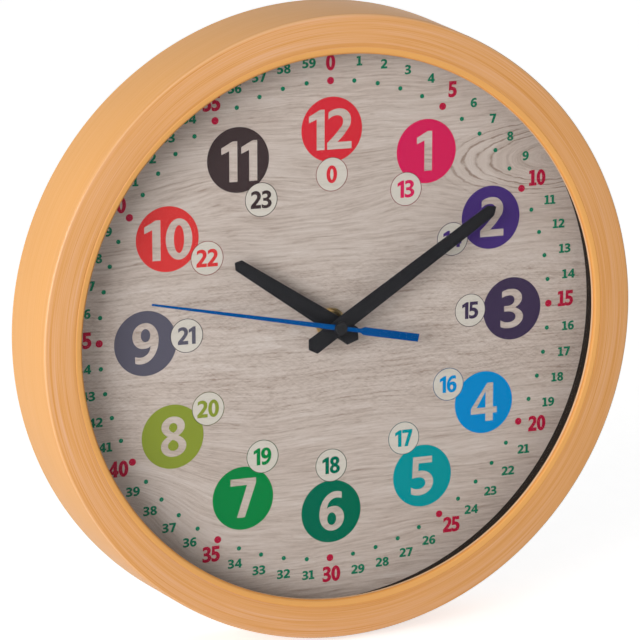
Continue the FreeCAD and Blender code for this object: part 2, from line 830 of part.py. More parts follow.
# Stepping motor and circuit
core_left = rotor_axis[0] - core_length / 2
core_right = rotor_axis[0] + core_length / 2
stator_bottom = rotor_axis[1] - stator_bar_width / 2
stator_bar_top = rotor_axis[1] + stator_bar_width / 2
stator_top = coil_height + stator_leg_width / 2
stator_post_places = [
    (core_left + stator_leg_width / 2, coil_height),
    (core_right - stator_leg_width / 2, coil_height),
    (core_left + stator_leg_width / 2, stator_bar_top),
]
board_right = case_inner_half - board_edge_gap
board_left = board_right - board_width
board_top = case_inner_top - board_edge_gap
board_bottom = board_top - board_height
board_rear = case_rear_inner + board_post_height
board_front = board_rear + board_thickness
board_post_places = [
    (board_left + board_post_radius, board_bottom + board_post_radius),
    (board_right - board_post_radius, board_bottom + board_post_radius),
    (board_left + board_post_radius, board_top - board_post_radius),
    (board_right - board_post_radius, board_top - board_post_radius),
]


def along_x(radius, left, right, z, depth):
    """Make a cylinder that lies from left to right."""
    base = FreeCAD.Vector(left, -depth, z)
    return Part.makeCylinder(radius, right - left, base, FreeCAD.Vector(1, 0, 0))


def make_stator():
    """Make the stator: a bar round the rotor and a leg up to each end of the coil."""
    points = [
        (core_left, stator_bottom),
        (core_right, stator_bottom),
        (core_right, stator_top),
        (core_right - stator_leg_width, stator_top),
        (core_right - stator_leg_width, stator_bar_top),
        (core_left + stator_leg_width, stator_bar_top),
        (core_left + stator_leg_width, stator_top),
        (core_left, stator_top),
    ]
    plate = flat(points, stator_rear, stator_front)
    hole = rod(magnet_radius + magnet_gap, stator_rear - overrun,
               stator_front + overrun, rotor_axis)
    return plate.cut(hole)


def make_coil_core():
    """Make the iron core that bridges the stator's legs."""
    half = core_width / 2
    return block(core_left, core_right, coil_height - half, coil_height + half,
                 stator_front, core_front)


def make_coil_bobbin():
    """Make the bobbin: a tube and two flanges with a slot for the core."""
    left = rotor_axis[0] - bobbin_length / 2
    right = rotor_axis[0] + bobbin_length / 2
    solids = [
        along_x(bobbin_tube_radius, left, right, coil_height, coil_depth),
        along_x(bobbin_flange_radius, left, left + bobbin_flange, coil_height, coil_depth),
        along_x(bobbin_flange_radius, right - bobbin_flange, right, coil_height, coil_depth),
    ]
    return joined(solids).cut(make_coil_core())


def make_coil_winding():
    """Make the winding between the bobbin's flanges."""
    left = rotor_axis[0] - bobbin_length / 2 + bobbin_flange
    right = rotor_axis[0] + bobbin_length / 2 - bobbin_flange
    outer = along_x(winding_radius, left, right, coil_height, coil_depth)
    return outer.cut(along_x(bobbin_tube_radius, left, right, coil_height, coil_depth))


def make_circuit_board():
    """Make the circuit board."""
    return block(board_left, board_right, board_bottom, board_top, board_rear, board_front)


def make_chip():
    """Make the sealed clock chip on the board."""
    place = (board_left + board_part_gap + chip_radius, board_bottom + board_height / 2)
    return rod(chip_radius, board_front, board_front + chip_height, place)


def make_crystal():
    """Make the quartz crystal's can, lying on the board."""
    right = board_right - contact_thickness - board_part_gap
    middle = board_bottom + board_height / 2
    return along_x(crystal_radius, right - crystal_length, right, middle,
                   board_front + crystal_radius)


# Battery and its contacts
def make_battery():
    """Make the bare round cell, its positive end to the right."""
    left = -battery_length / 2
    right = battery_length / 2
    body = along_x(battery_radius, left, right - battery_nub_length,
                   battery_axis_z, battery_axis_depth)
    body = body.makeFillet(battery_edge_radius, [
        edge for edge in body.Edges if abs(edge.BoundBox.XLength) < battery_edge_radius])
    nub = along_x(battery_nub_radius, right - battery_nub_length, right,
                  battery_axis_z, battery_axis_depth)
    return joined([body, nub])


def make_contact(side):
    """Make a contact: pad on the cell, plate at the wall and strip to the board.

    The strip of the left contact goes on along the top wall to the board.
    """
    outer = side * (case_inner_half - contact_gap)
    inner = outer - side * contact_thickness
    left, right = min(outer, inner), max(outer, inner)
    plate_half = contact_plate_height / 2
    plate = block(left, right, battery_axis_z - plate_half, battery_axis_z + plate_half,
                  battery_axis_depth - plate_half, battery_axis_depth + plate_half)
    strip_front = board_front + contact_strip_height
    top = case_inner_top - contact_gap
    solids = [plate]
    strip_top = top if side < 0 else board_top
    solids.append(block(left, right, battery_axis_z, strip_top, board_front, strip_front))
    if side < 0:
        solids.append(block(left, board_left + contact_strip_height,
                            top - contact_thickness, top, board_front, strip_front))
    cell_end = side * battery_length / 2
    pad_left, pad_right = min(cell_end, inner), max(cell_end, inner)
    solids.append(along_x(contact_pad_radius, pad_left, pad_right,
                          battery_axis_z, battery_axis_depth))
    return joined(solids)


# Nut and washers on the bush
def make_rubber_washer():
    """Make the rubber washer between the movement and the dial."""
    return tube(washer_radius, bush_radius + dial_hole_clearance, movement_front, dial_rear)


def make_nut_washer():
    """Make the thin washer under the nut."""
    return tube(nut_washer_radius, bush_radius + dial_hole_clearance,
                dial_face, dial_face + nut_washer_thickness)


def make_bush_nut():
    """Make the hexagon nut that clamps the movement to the dial."""
    corner = nut_across_flats / 2 / math.cos(math.radians(180 / 6))
    rear = dial_face + nut_washer_thickness
    points = [on_dial(corner, index * 360 / 6) for index in range(6)]
    nut = flat(points, rear, rear + nut_height)
    rounding = rod(nut_across_flats / 2 + bush_chamfer, rear, rear + nut_height)
    return nut.common(rounding).cut(
        rod(bush_radius + thread_clearance, rear - overrun, rear + nut_height + overrun))


# Hands
def bar_hand(tip, tip_point, tip_width, tail, tail_point, tail_width, height, angle, pipe):
    """Make a flat tapered bar hand with blunt points and a collar on its pipe."""
    points = [
        (0, tip),
        (tip_width / 2, tip - tip_point),
        (tail_width / 2, -tail + tail_point),
        (0, -tail),
        (-tail_width / 2, -tail + tail_point),
        (-tip_width / 2, tip - tip_point),
    ]
    front = dial_face + height
    rear = front - hand_thickness
    bar = turn(flat(points, rear, front), angle)
    collar = rod(pipe + hand_collar_wall, rear - hand_collar_height, rear)
    return joined([bar, collar]).cut(rod(pipe, 0, glass_front))


def make_second_hand():
    """Make the needle with its counterweight tail, hub and collar."""
    front = dial_face + second_hand_height
    rear = front - second_hand_thickness
    needle = flat([
        (second_hand_tip_width / 2, second_hand_tip),
        (second_hand_root_width / 2, 0),
        (-second_hand_root_width / 2, 0),
        (-second_hand_tip_width / 2, second_hand_tip),
    ], rear, front)
    neck_half = second_hand_neck_width / 2
    neck = block(-neck_half, neck_half, -counterweight_start, 0, rear, front)
    half = counterweight_width / 2
    tail = flat([
        (neck_half, -counterweight_start + half),
        (half, -counterweight_start),
        (half, -counterweight_end),
        (-half, -counterweight_end),
        (-half, -counterweight_start),
        (-neck_half, -counterweight_start + half),
    ], rear, front)
    hub = rod(second_hand_hub_radius, rear, front)
    collar = rod(seconds_arbor_radius + hand_collar_wall, rear - second_collar_height, rear)
    hand = joined([needle, neck, tail, hub, collar])
    hand = turn(hand, second_hand_angle)
    return hand.cut(rod(seconds_arbor_radius, 0, glass_front))


def make_second_hand_cap():
    """Make the round cap on the end of the second hand's arbor."""
    cap = rod(cap_radius, cap_rear, cap_rear + cap_height)
    rim = [edge for edge in cap.Edges
           if abs(edge.BoundBox.YMin + cap_rear + cap_height) < edge_tolerance
           and edge.BoundBox.YLength < edge_tolerance]
    cap = cap.makeFillet(cap_rounding, rim)
    return cap.cut(rod(seconds_arbor_radius, 0, cap_rear + cap_height - cap_floor))


def make_all():
    """Make and write every node."""
    save("frame_ring", make_frame_ring())
    save("glass_lens", rod(stack_radius, glass_rear, glass_front))
    save("spacer_ring", tube(stack_radius, spacer_window_radius, dial_face, glass_rear))
    save("dial_plate", make_dial_plate())
    save("hour_discs", make_hour_discs())
    save("day_hour_discs", make_day_discs())
    save("minute_dots", make_minute_dots(False))
    save("five_minute_dots", make_minute_dots(True))
    save("back_cover", make_back_cover())
    save("cover_screws", make_cover_screws())
    save("movement_front_case", make_front_case())
    save("movement_rear_case", make_rear_case())
    save("gear_plate", make_gear_plate())
    save("rubber_washer", make_rubber_washer())
    save("nut_washer", make_nut_washer())
    save("bush_nut", make_bush_nut())
    save("stator_plate", make_stator())
    save("coil_core", make_coil_core())
    save("coil_bobbin", make_coil_bobbin())
    save("coil_winding", make_coil_winding())
    save("circuit_board", make_circuit_board())
    save("clock_chip", make_chip())
    save("quartz_crystal", make_crystal())
    save("battery", make_battery())
    save("negative_contact", make_contact(-1))
    save("positive_contact", make_contact(1))
    save("rotor_magnet", make_rotor_magnet())
    save("rotor_pinion", make_rotor_pinion())
    save("fifth_wheel", make_fifth_wheel())
    save("seconds_wheel", make_seconds_wheel())
    save("third_wheel", make_third_wheel())
    save("centre_wheel", make_centre_wheel())
    save("clutch_spring", make_clutch_spring())
    save("minute_cannon", make_minute_cannon())
    save("motion_wheel", make_motion_wheel())
    save("hour_wheel", make_hour_wheel())
    save("setting_knob", make_setting_knob())
    save("hour_hand", bar_hand(
        hour_hand_tip, hour_hand_tip_point, hour_hand_tip_width,
        hour_hand_tail, hour_hand_tail_point, hour_hand_tail_width,
        hour_hand_height, hour_hand_angle, hour_pipe_radius))
    save("minute_hand", bar_hand(
        minute_hand_tip, minute_hand_tip_point, minute_hand_tip_width,
        minute_hand_tail, minute_hand_tail_point, minute_hand_tail_width,
        minute_hand_height, minute_hand_angle, cannon_radius))
    save("second_hand", make_second_hand())
    save("second_hand_cap", make_second_hand_cap())


os.makedirs("parts", exist_ok=True)
make_all()
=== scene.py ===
"""Looks of the clock for learning the time: ring, glass, printed dial, hands and movement.

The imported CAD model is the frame, and nothing in it is moved. Sizes here are millimetres.
A depth is a distance in front of the wall, so y = -depth, and x and z are right and up as
seen from the front. A dial angle runs clockwise from twelve, in degrees.
"""

import logging
import math
from collections.abc import Iterable, Sequence
from dataclasses import dataclass, replace
from enum import Enum

import bmesh
import bpy
from mathutils import Matrix, Vector


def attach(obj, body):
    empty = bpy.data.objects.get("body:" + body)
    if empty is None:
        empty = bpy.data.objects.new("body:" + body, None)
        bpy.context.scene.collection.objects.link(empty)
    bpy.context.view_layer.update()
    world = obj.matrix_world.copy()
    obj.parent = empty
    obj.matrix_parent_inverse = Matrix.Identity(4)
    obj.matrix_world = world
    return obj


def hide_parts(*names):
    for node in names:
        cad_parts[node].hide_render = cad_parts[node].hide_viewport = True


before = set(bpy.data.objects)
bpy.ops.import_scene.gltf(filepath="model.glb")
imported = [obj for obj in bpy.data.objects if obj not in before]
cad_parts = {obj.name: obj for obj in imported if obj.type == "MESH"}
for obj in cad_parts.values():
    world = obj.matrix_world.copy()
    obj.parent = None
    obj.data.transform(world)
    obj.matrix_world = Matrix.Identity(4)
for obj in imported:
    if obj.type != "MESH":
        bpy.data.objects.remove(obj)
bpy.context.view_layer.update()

MM = 0.001
LOG = logging.getLogger("clock")

Point = tuple[float, float]
Loop = list[Point]
Colour = tuple[float, float, float, float]


# Small helpers

def tone(red: int, green: int, blue: int) -> Colour:
    """Turn a colour written in screen steps of 0 to 255 into Blender's linear colour.

    Args:
        red: Red step.
        green: Green step.
        blue: Blue step.

    Returns:
        The linear colour with full alpha.
    """
    shares = (step / 255 for step in (red, green, blue))
    return (*(share / 12.92 if share <= 0.04045 else ((share + 0.055) / 1.055) ** 2.4
              for share in shares), 1.0)


def on_dial(radius: float, angle: float, centre: Point = (0.0, 0.0)) -> Point:
    """Give the place at a dial angle and radius round a centre."""
    turn = math.radians(angle)
    return (centre[0] + radius * math.sin(turn), centre[1] + radius * math.cos(turn))


def circle(radius: float, centre: Point = (0.0, 0.0), count: int = 72) -> Loop:
    """Give a circle as a loop of points."""
    return [on_dial(radius, 360 * index / count, centre) for index in range(count)]


def turned_loop(loop: Loop, angle: float) -> Loop:
    """Turn a loop clockwise, from twelve to a dial angle."""
    sine, cosine = math.sin(math.radians(angle)), math.cos(math.radians(angle))
    return [(x * cosine + z * sine, z * cosine - x * sine) for x, z in loop]


def part_way(start: Sequence[float], end: Sequence[float], across: float, up: float) -> Point:
    """Give the place that is a share of the way to an end, across and up."""
    return (start[0] + across * (end[0] - start[0]), start[1] + up * (end[1] - start[1]))


# Node trees

class Signal:
    """An output of a node, to reckon with like a number."""

    def __init__(self, wiring: "Wiring", socket: bpy.types.NodeSocket) -> None:
        """Take the wiring and the output's socket."""
        self.wiring = wiring
        self.socket = socket

    def math(self, operation: str, other: "Feed" = 0.0) -> "Signal":
        """Work out one step of arithmetic, by Blender's name of it."""
        return self.wiring.result("ShaderNodeMath", {0: self, 1: other}, operation=operation)

    def __add__(self, other: "Feed") -> "Signal":
        """Add a number or an output."""
        return self.math("ADD", other)

    def __sub__(self, other: "Feed") -> "Signal":
        """Take away a number or an output."""
        return self.math("SUBTRACT", other)

    def __mul__(self, other: "Feed") -> "Signal":
        """Multiply by a number or an output."""
        return self.math("MULTIPLY", other)

    def __truediv__(self, other: "Feed") -> "Signal":
        """Divide by a number or an output."""
        return self.math("DIVIDE", other)

    def inverse(self) -> "Signal":
        """Divide one by this."""
        return self.wiring.result("ShaderNodeMath", {0: 1.0, 1: self}, operation="DIVIDE")

    def length(self, other: "Signal") -> "Signal":
        """Give the distance that this makes with an offset square to it."""
        return (self * self + other * other).math("SQRT")

    def fit(self, low: float, high: float, to_low: float = 0.0, to_high: float = 1.0,
            smooth: bool = False) -> "Signal":
        """Map a range of values onto another, and hold it there.

        Args:
            low: Start of the range.
            high: End of the range.
            to_low: What the start becomes.
            to_high: What the end becomes.
            smooth: Whether the ends ease in and out.

        Returns:
            The mapped value.
        """
        inputs = {"Value": self, "From Min": low, "From Max": high, "To Min": to_low,
                  "To Max": to_high}
        return self.wiring.result("ShaderNodeMapRange", inputs,
                                  interpolation_type="SMOOTHSTEP" if smooth else "LINEAR")

    def blend(self, first: "Feed", second: "Feed") -> "Signal":
        """Blend from one colour to a second by this share."""
        return self.wiring.result("ShaderNodeMix", {0: self, 6: first, 7: second}, 2,
                                  data_type="RGBA")

    def ramp(self, stops: Sequence[tuple[float, Colour]]) -> "Signal":
        """Turn this into a colour between stops.

        Args:
            stops: Each stop's place and colour, in rising order.

        Returns:
            The colour.
        """
        node = self.wiring.add("ShaderNodeValToRGB", {0: self})
        elements = node.color_ramp.elements
        while len(elements) < len(stops):
            elements.new(1.0)
        for element, (place, colour) in zip(elements, stops):
            element.position, element.color = place, colour
        return Signal(self.wiring, node.outputs[0])

    def stretched(self, x: float, y: float, z: float) -> "Signal":
        """Scale this place by its own factor along each axis."""
        return self.wiring.result("ShaderNodeVectorMath", {0: self, 1: (x, y, z)},
                                  operation="MULTIPLY")

    def split(self) -> list["Signal"]:
        """Give x, y and z of this place."""
        node = self.wiring.add("ShaderNodeSeparateXYZ", {0: self})
        return [Signal(self.wiring, socket) for socket in node.outputs]

    def noise(self, scale: "Feed" = 1.0, detail: float = 2.0, rough: float = 0.5,
              turn: "Signal | None" = None) -> "Signal":
        """Give smooth noise from 0 to 1 at this place.

        Args:
            scale: Spots in a unit of length.
            detail: How many finer layers it has.
            rough: How strong the finer layers are.
            turn: A fourth coordinate, where there is one.

        Returns:
            The noise.
        """
        inputs = {"Vector": self, "Scale": scale, "Detail": detail, "Roughness": rough}
        if turn is None:
            return self.wiring.result("ShaderNodeTexNoise", inputs)
        return self.wiring.result("ShaderNodeTexNoise", {**inputs, "W": turn},
                                  noise_dimensions="4D")

    def bump(self, distance: float, normal: "Signal | None" = None) -> "Signal":
        """Give the normal of a surface that has this height.

        Args:
            distance: How far the height reaches.
            normal: The normal that it starts from, where it isn't the surface's own.

        Returns:
            The normal.
        """
        start = {} if normal is None else {"Normal": normal}
        return self.wiring.result("ShaderNodeBump",
                                  {"Height": self, "Distance": distance * MM, **start})


Feed = float | Sequence[float] | Signal
Feeds = dict[str | int, Feed]
Signals = dict[str, Signal]


class Wiring:
    """Places nodes in one tree and wires them."""

    def __init__(self, tree: bpy.types.NodeTree) -> None:
        """Take the tree that the nodes go into."""
        self.tree = tree

    def add(self, kind: str, inputs: Feeds | None = None,
            **settings: object) -> bpy.types.Node:
        """Place a node.

        Args:
            kind: Blender's name of the node type.
            inputs: What feeds each input, by its name or number.
            settings: Options of the node.

        Returns:
            The node.
        """
        node = self.tree.nodes.new(kind)
        for name, value in settings.items():
            setattr(node, name, value)
        for key, value in (inputs or {}).items():
            if isinstance(value, Signal):
                self.tree.links.new(value.socket, node.inputs[key])
            else:
                node.inputs[key].default_value = value
        return node

    def result(self, kind: str, inputs: Feeds | None = None, output: int | str = 0,
               **settings: object) -> Signal:
        """Place a node and give its first output, or the one that is named."""
        return Signal(self, self.add(kind, inputs, **settings).outputs[output])

    def own_place(self) -> Signal:
        """Give the place on the piece itself, in millimetres."""
        place = self.result("ShaderNodeTexCoord", output="Object")
        return place.stretched(1 / MM, 1 / MM, 1 / MM)

    def vector(self, x: Feed, y: Feed, z: Feed) -> Signal:
        """Join x, y and z to a place."""
        return self.result("ShaderNodeCombineXYZ", {0: x, 1: y, 2: z})

    def signals(self, node: bpy.types.Node) -> Signals:
        """Give all outputs of a node by their names."""
        return {socket.name: Signal(self, socket) for socket in node.outputs}

    def rays(self, *kinds: str) -> Signal:
        """Give one for rays of these kinds, and else zero.

        Args:
            kinds: Blender's names of the kinds.

        Returns:
            One or zero.
        """
        path = self.signals(self.add("ShaderNodeLightPath"))
        found = path[f"Is {kinds[0]} Ray"]
        for kind in kinds[1:]:
            found = found.math("MAXIMUM", path[f"Is {kind} Ray"])
        return found

    def effect(self, effect: "Effect", inputs: Feeds) -> Signals:
        """Place an effect, whose group is built at its first use.

        Args:
            effect: The effect.
            inputs: What feeds its inputs.

        Returns:
            Its outputs.
        """
        if effect not in GROUPS:
            GROUPS[effect] = EffectGroup(effect).tree
        return self.signals(self.add("ShaderNodeGroup", inputs, node_tree=GROUPS[effect]))


class SocketKind(Enum):
    """What a group's socket carries."""

    VALUE = "NodeSocketFloat"
    COLOUR = "NodeSocketColor"
    VECTOR = "NodeSocketVector"


OUTPUT_KINDS = {"Colour": SocketKind.COLOUR, "Normal": SocketKind.VECTOR}
GROUPS: dict["Effect", bpy.types.NodeTree] = {}
SIGHT = ("Camera", "Glossy", "Transmission")


class Effect(Enum):
    """The effects that several materials share: a group's name, and what its inputs start as."""

    TONE_DRIFT = ("tone_drift", {"Colour": (0.8, 0.8, 0.8, 1.0), "Spot Size": 12.0,
                                 "Strength": 0.06})
    MOULDED_SKIN = ("moulded_skin", {"Grain Size": 0.5, "Roughness": 0.4,
                                     "Roughness Swing": 0.08})
    TURNED_LINES = ("turned_lines", {"Line Width": 1.0, "Break": 3.0})
    DRAWN_LINES = ("drawn_lines", {"Line Width": 0.2, "Roughness": 0.3,
                                   "Roughness Swing": 0.15})
    WORN_EDGE = ("worn_edge", {"Width": 0.2, "Strength": 0.5})
    WOOD_SWELL = ("wood_swell", {"Centre X": 0.0, "Centre Z": 0.0, "Half Length": 40.0,
                                 "Half Height": 20.0, "Rise": 10.0})
    WOOD_ARCHES = ("wood_arches", {"Centre X": 0.0, "Centre Z": 0.0, "Slimness": 0.3,
                                   "First Ring": 11.0, "Spacing": 2.2, "Rings": 4.0,
                                   "Wobble": 1.0})
    WOOD_PRINT = ("wood_print", {"Dark": tone(150, 133, 121), "Middle": tone(192, 179, 169),
                                 "Pale": tone(212, 202, 193), "Contrast": 1.0})


class EffectGroup(Wiring):
    """The node group of one effect, wired by the method that is named after it.

    Such a method takes what the group's inputs give, and returns what its outputs get.
    """

    SWELLS = ((-112.0, -78.0, 44.0, 30.0, -30.0), (-60.0, 74.0, 34.0, 14.0, -9.0),
              (40.0, 62.0, 26.0, 16.0, -8.0), (-20.0, -112.0, 50.0, 12.0, 6.0))
    KNOT = {"Centre X": 120.0, "Centre Z": 73.0, "Slimness": 0.31, "First Ring": 11.3,
            "Spacing": 2.2, "Rings": 5.0, "Wobble": 0.45}
    SAW_LEANS = (0.55, -0.45)
    SAW_STRETCH = (0.24, 9.0, 0.95)
    SWAY = 11.0
    ARCH_WAVE = 6.0
    MIDDLE_TONE = 0.6
    MARK_DEPTH = -0.55
    FINE_SHARE, BAND_SHARE, LINE_SHADE, DASH_SHADE = 1.25, 0.55, -0.12, -0.20

    def __init__(self, effect: Effect) -> None:
        """Make the group with its sockets, and wire it.

        Args:
            effect: The effect.
        """
        name, inputs = effect.value
        super().__init__(bpy.data.node_groups.new(name, "ShaderNodeTree"))
        for title, start in inputs.items():
            kind = SocketKind.COLOUR if isinstance(start, tuple) else SocketKind.VALUE
            self.socket(title, "INPUT", kind).default_value = start
        given = self.signals(self.add("NodeGroupInput"))
        makers = {
            Effect.TONE_DRIFT: self.tone_drift, Effect.MOULDED_SKIN: self.moulded_skin,
            Effect.TURNED_LINES: self.turned_lines, Effect.DRAWN_LINES: self.drawn_lines,
            Effect.WORN_EDGE: self.worn_edge, Effect.WOOD_SWELL: self.wood_swell,
            Effect.WOOD_ARCHES: self.wood_arches, Effect.WOOD_PRINT: self.wood_print}
        made = makers[effect](given)
        for title in made:
            self.socket(title, "OUTPUT", OUTPUT_KINDS.get(title, SocketKind.VALUE))
        self.add("NodeGroupOutput", made)

    def socket(self, title: str, side: str,
               kind: SocketKind) -> bpy.types.NodeTreeInterfaceSocket:
        """Add a socket to the group."""
        return self.tree.interface.new_socket(title, in_out=side, socket_type=kind.value)

    def tone_drift(self, given: Signals) -> Signals:
        """Make the slow change of tone over a surface.

        Args:
            given: Colour, spot size and strength.

        Returns:
            The changed colour.
        """
        drift = self.own_place().noise(given["Spot Size"].inverse(), detail=3.0)
        factor = (drift * 2.0 - 1.0) * given["Strength"] + 1.0
        return {"Colour": self.result("ShaderNodeVectorMath", {
            0: given["Colour"], "Scale": factor}, operation="SCALE")}

    def moulded_skin(self, given: Signals) -> Signals:
        """Make the fine pebbled skin of moulded plastic and of paint.

        Args:
            given: Grain size, and the roughness with its swing.

        Returns:
            Height and roughness.
        """
        place = self.own_place()
        fine = place.noise(given["Grain Size"].inverse())
        swing = fine + place.noise(0.09) - 1.0
        return {"Height": fine,
                "Roughness": swing * given["Roughness Swing"] + given["Roughness"]}

    def turned_lines(self, given: Signals) -> Signals:
        """Make streaks that run round the hands' axis, as on a turned or moulded ring.

        Args:
            given: Line width, and how often a line breaks in a turn.

        Returns:
            The streaks.
        """
        x, y, z = self.own_place().split()
        radius = x.length(z)
        across = given["Line Width"].inverse()
        cosine, sine = (side / radius * given["Break"] for side in (x, z))
        place = self.vector(radius * across, y * across, cosine)
        return {"Streak": place.noise(detail=3.0, rough=0.6, turn=sine)}

    def drawn_lines(self, given: Signals) -> Signals:
        """Make the fine straight lines of rolled or brushed metal, along x.

        Args:
            given: Line width, and the roughness with its swing.

        Returns:
            Height and roughness.
        """
        place = self.own_place().stretched(0.06, 1.0, 1.0)
        lines = place.noise(given["Line Width"].inverse(), detail=3.0)
        swing = lines * 2.0 - 1.0
        return {"Height": lines,
                "Roughness": swing * given["Roughness Swing"] + given["Roughness"]}

    def worn_edge(self, given: Signals) -> Signals:
        """Make the rubbed line along an edge, and the edge's rounded normal.

        Args:
            given: Width of the edge, and strength of the wear.

        Returns:
            Wear and normal.
        """
        rounded = self.result("ShaderNodeBevel", {"Radius": given["Width"] * MM}, samples=4)
        true = self.result("ShaderNodeNewGeometry", output="Normal")
        same = self.result("ShaderNodeVectorMath", {0: rounded, 1: true}, "Value",
                           operation="DOT_PRODUCT")
        patches = self.own_place().noise(0.7, detail=3.0).fit(0.35, 0.65)
        return {"Wear": same.fit(0.99, 0.8) * patches * given["Strength"], "Normal": rounded}

    def wood_swell(self, given: Signals) -> Signals:
        """Make a soft hump that the fibres of a board bend round.

        Args:
            given: Centre, half length, half height and rise.

        Returns:
            The rise.
        """
        x, _, z = self.own_place().split()
        along = (x - given["Centre X"]) / given["Half Length"]
        across = (z - given["Centre Z"]) / given["Half Height"]
        fall = ((along * along + across * across) * -1.0).math("EXPONENT")
        return {"Rise": fall * given["Rise"]}

    def wood_arches(self, given: Signals) -> Signals:
        """Make the nested arches where a board's cut runs along a growth ring's tip.

        Args:
            given: Centre, slimness, first ring, spacing, number of rings and wobble.

        Returns:
            Distance in rings, the rings' lines, and where the arches hold.
        """
        place = self.own_place()
        x, _, z = place.split()
        wave = place.stretched(0.06, 0.06, 0.12).noise(detail=4.0, rough=0.6)
        before = (x - given["Centre X"]).math("MINIMUM", 0.0) * given["Slimness"]
        lift = (wave * self.ARCH_WAVE - self.ARCH_WAVE / 2) * given["Wobble"]
        ring = before.length(z - given["Centre Z"]) + lift
        count = (ring - given["First Ring"]) / given["Spacing"]
        near = ((count + 0.5).math("FRACT") - 0.5).math("ABSOLUTE")
        fading = (count / given["Rings"]).fit(1.0, 0.35, smooth=True)
        breaks = place.stretched(0.12, 0.12, 0.25).noise(detail=3.0).fit(0.36, 0.58, 0.25)
        line = near.fit(0.20, 0.0, smooth=True) * count.fit(-0.5, -0.3) * (fading * breaks)
        return {"Ring": ring, "Line": line, "Mask": fading}

    def wood_print(self, given: Signals) -> Signals:
        """Make the printed picture of a bleached board: fibres, dashes and growth arches.

        Args:
            given: Three tones and the contrast.

        Returns:
            The colour.
        """
        place = self.own_place()
        x, _, z = place.split()
        sway = place.stretched(0.012, 0.0, 0.02).noise() * self.SWAY - self.SWAY / 2
        level = z + sway
        for swell in self.SWELLS:
            inputs = dict(zip(Effect.WOOD_SWELL.value[1], swell))
            level = level + self.effect(Effect.WOOD_SWELL, inputs)["Rise"]
        knot = self.effect(Effect.WOOD_ARCHES, self.KNOT)
        flat = self.fibres(self.vector(x, 0.0, level))
        curved = self.fibres(self.vector(x, 30.0, knot["Ring"]))
        value = (curved - flat) * knot["Mask"] + flat + self.MIDDLE_TONE
        band = (z + 8.0).math("ABSOLUTE").fit(50.0, 22.0, 0.15, 0.55, smooth=True)
        for lean in self.SAW_LEANS:
            slope = self.vector(x, lean, x * lean + z)
            sawn = slope.stretched(*self.SAW_STRETCH).noise(detail=3.0)
            value = (sawn - 0.5) * band + value
            value = sawn.fit(0.60, 0.74) * band * self.MARK_DEPTH + value
        value = knot["Line"] * self.MARK_DEPTH + value
        value = (value - self.MIDDLE_TONE) * given["Contrast"] + self.MIDDLE_TONE
        low = value.fit(0.05, self.MIDDLE_TONE).blend(given["Dark"], given["Middle"])
        return {"Colour": value.fit(self.MIDDLE_TONE, 1.05).blend(low, given["Pale"])}

    @classmethod
    def fibres(cls, flow: Signal) -> Signal:
        """Place the fibres, bands and short dashes of a board.

        Args:
            flow: A place whose x runs along the fibres and whose z runs across them.

        Returns:
            Their tone, round zero.
        """
        bands = flow.stretched(0.005, 1.0, 0.10).noise(detail=3.0)
        fine = flow.stretched(0.045, 1.0, 0.80).noise(detail=6.0, rough=0.75)
        line = flow.stretched(0.012, 3.0, 0.75).noise(detail=3.0, rough=0.6).fit(
            0.53, 0.66, smooth=True)
        dash = flow.stretched(0.11, 7.0, 1.2).noise(detail=3.0, rough=0.6).fit(
            0.54, 0.68, smooth=True)
        field = flow.stretched(0.014, 5.0, 0.035).noise(detail=1.0).fit(0.40, 0.60, 0.25)
        return ((fine - 0.5) * cls.FINE_SHARE + (bands - 0.5) * cls.BAND_SHARE
                + line * cls.LINE_SHADE + dash * field * cls.DASH_SHADE)


# Finishes

MATERIALS: dict["Finish", bpy.types.Material] = {}


@dataclass(frozen=True)
class Finish:
    """A material with its own base values, a slow drift of tone and a fine grain.

    Each kind of finish has a method, dress, that gives what feeds its shader's inputs.
    """

    name: str
    colour: Colour
    roughness: float = 0.45
    metallic: float = 0.0
    specular: float = 0.5
    spot_size: float = 12.0
    drift: float = 0.06
    grain: float = 0.6
    grain_depth: float = 0.004

    def material(self) -> bpy.types.Material:
        """Give the material, and build it at its first use.

        Returns:
            The material.
        """
        if self in MATERIALS:
            return MATERIALS[self]
        made = MATERIALS[self] = bpy.data.materials.new(self.name)
        made.use_nodes = True
        made.diffuse_color = self.colour
        made.node_tree.nodes.clear()
        wiring = Wiring(made.node_tree)
        shader = wiring.result("ShaderNodeBsdfPrincipled", {
            "Base Color": self.colour, "Roughness": self.roughness,
            "Metallic": self.metallic, "Specular IOR Level": self.specular,
            **self.dress(wiring)})
        wiring.add("ShaderNodeOutputMaterial", {"Surface": self.surface(wiring, shader)})
        return made

    def dress(self, wiring: Wiring) -> Feeds:
        """Vary the tone."""
        return {"Base Color": self.drifting(wiring, self.colour)}

    def surface(self, wiring: Wiring, shader: Signal) -> Signal:
        """Give what the material's output shows: here the shader itself."""
        return shader

    def drifting(self, wiring: Wiring, colour: Feed) -> Signal:
        """Give a colour with the slow drift of tone."""
        return wiring.effect(Effect.TONE_DRIFT, {
            "Colour": colour, "Spot Size": self.spot_size, "Strength": self.drift})["Colour"]

    def swinging(self, value: Signal, swing: float) -> Signal:
        """Let a noise swing the roughness up and down."""
        return value.fit(0.3, 0.7, self.roughness - swing, self.roughness + swing)

    def grained(self, wiring: Wiring, normal: Signal | None = None) -> Feeds:
        """Give the roughness and the normal of the fine grain.

        Args:
            wiring: The material's wiring.
            normal: The normal that the grain starts from, where it isn't the surface's own.

        Returns:
            What feeds the shader's inputs.
        """
        skin = wiring.effect(Effect.MOULDED_SKIN, {
            "Grain Size": self.grain, "Roughness": self.roughness})
        return {"Roughness": skin["Roughness"],
                "Normal": skin["Height"].bump(self.grain_depth, normal)}


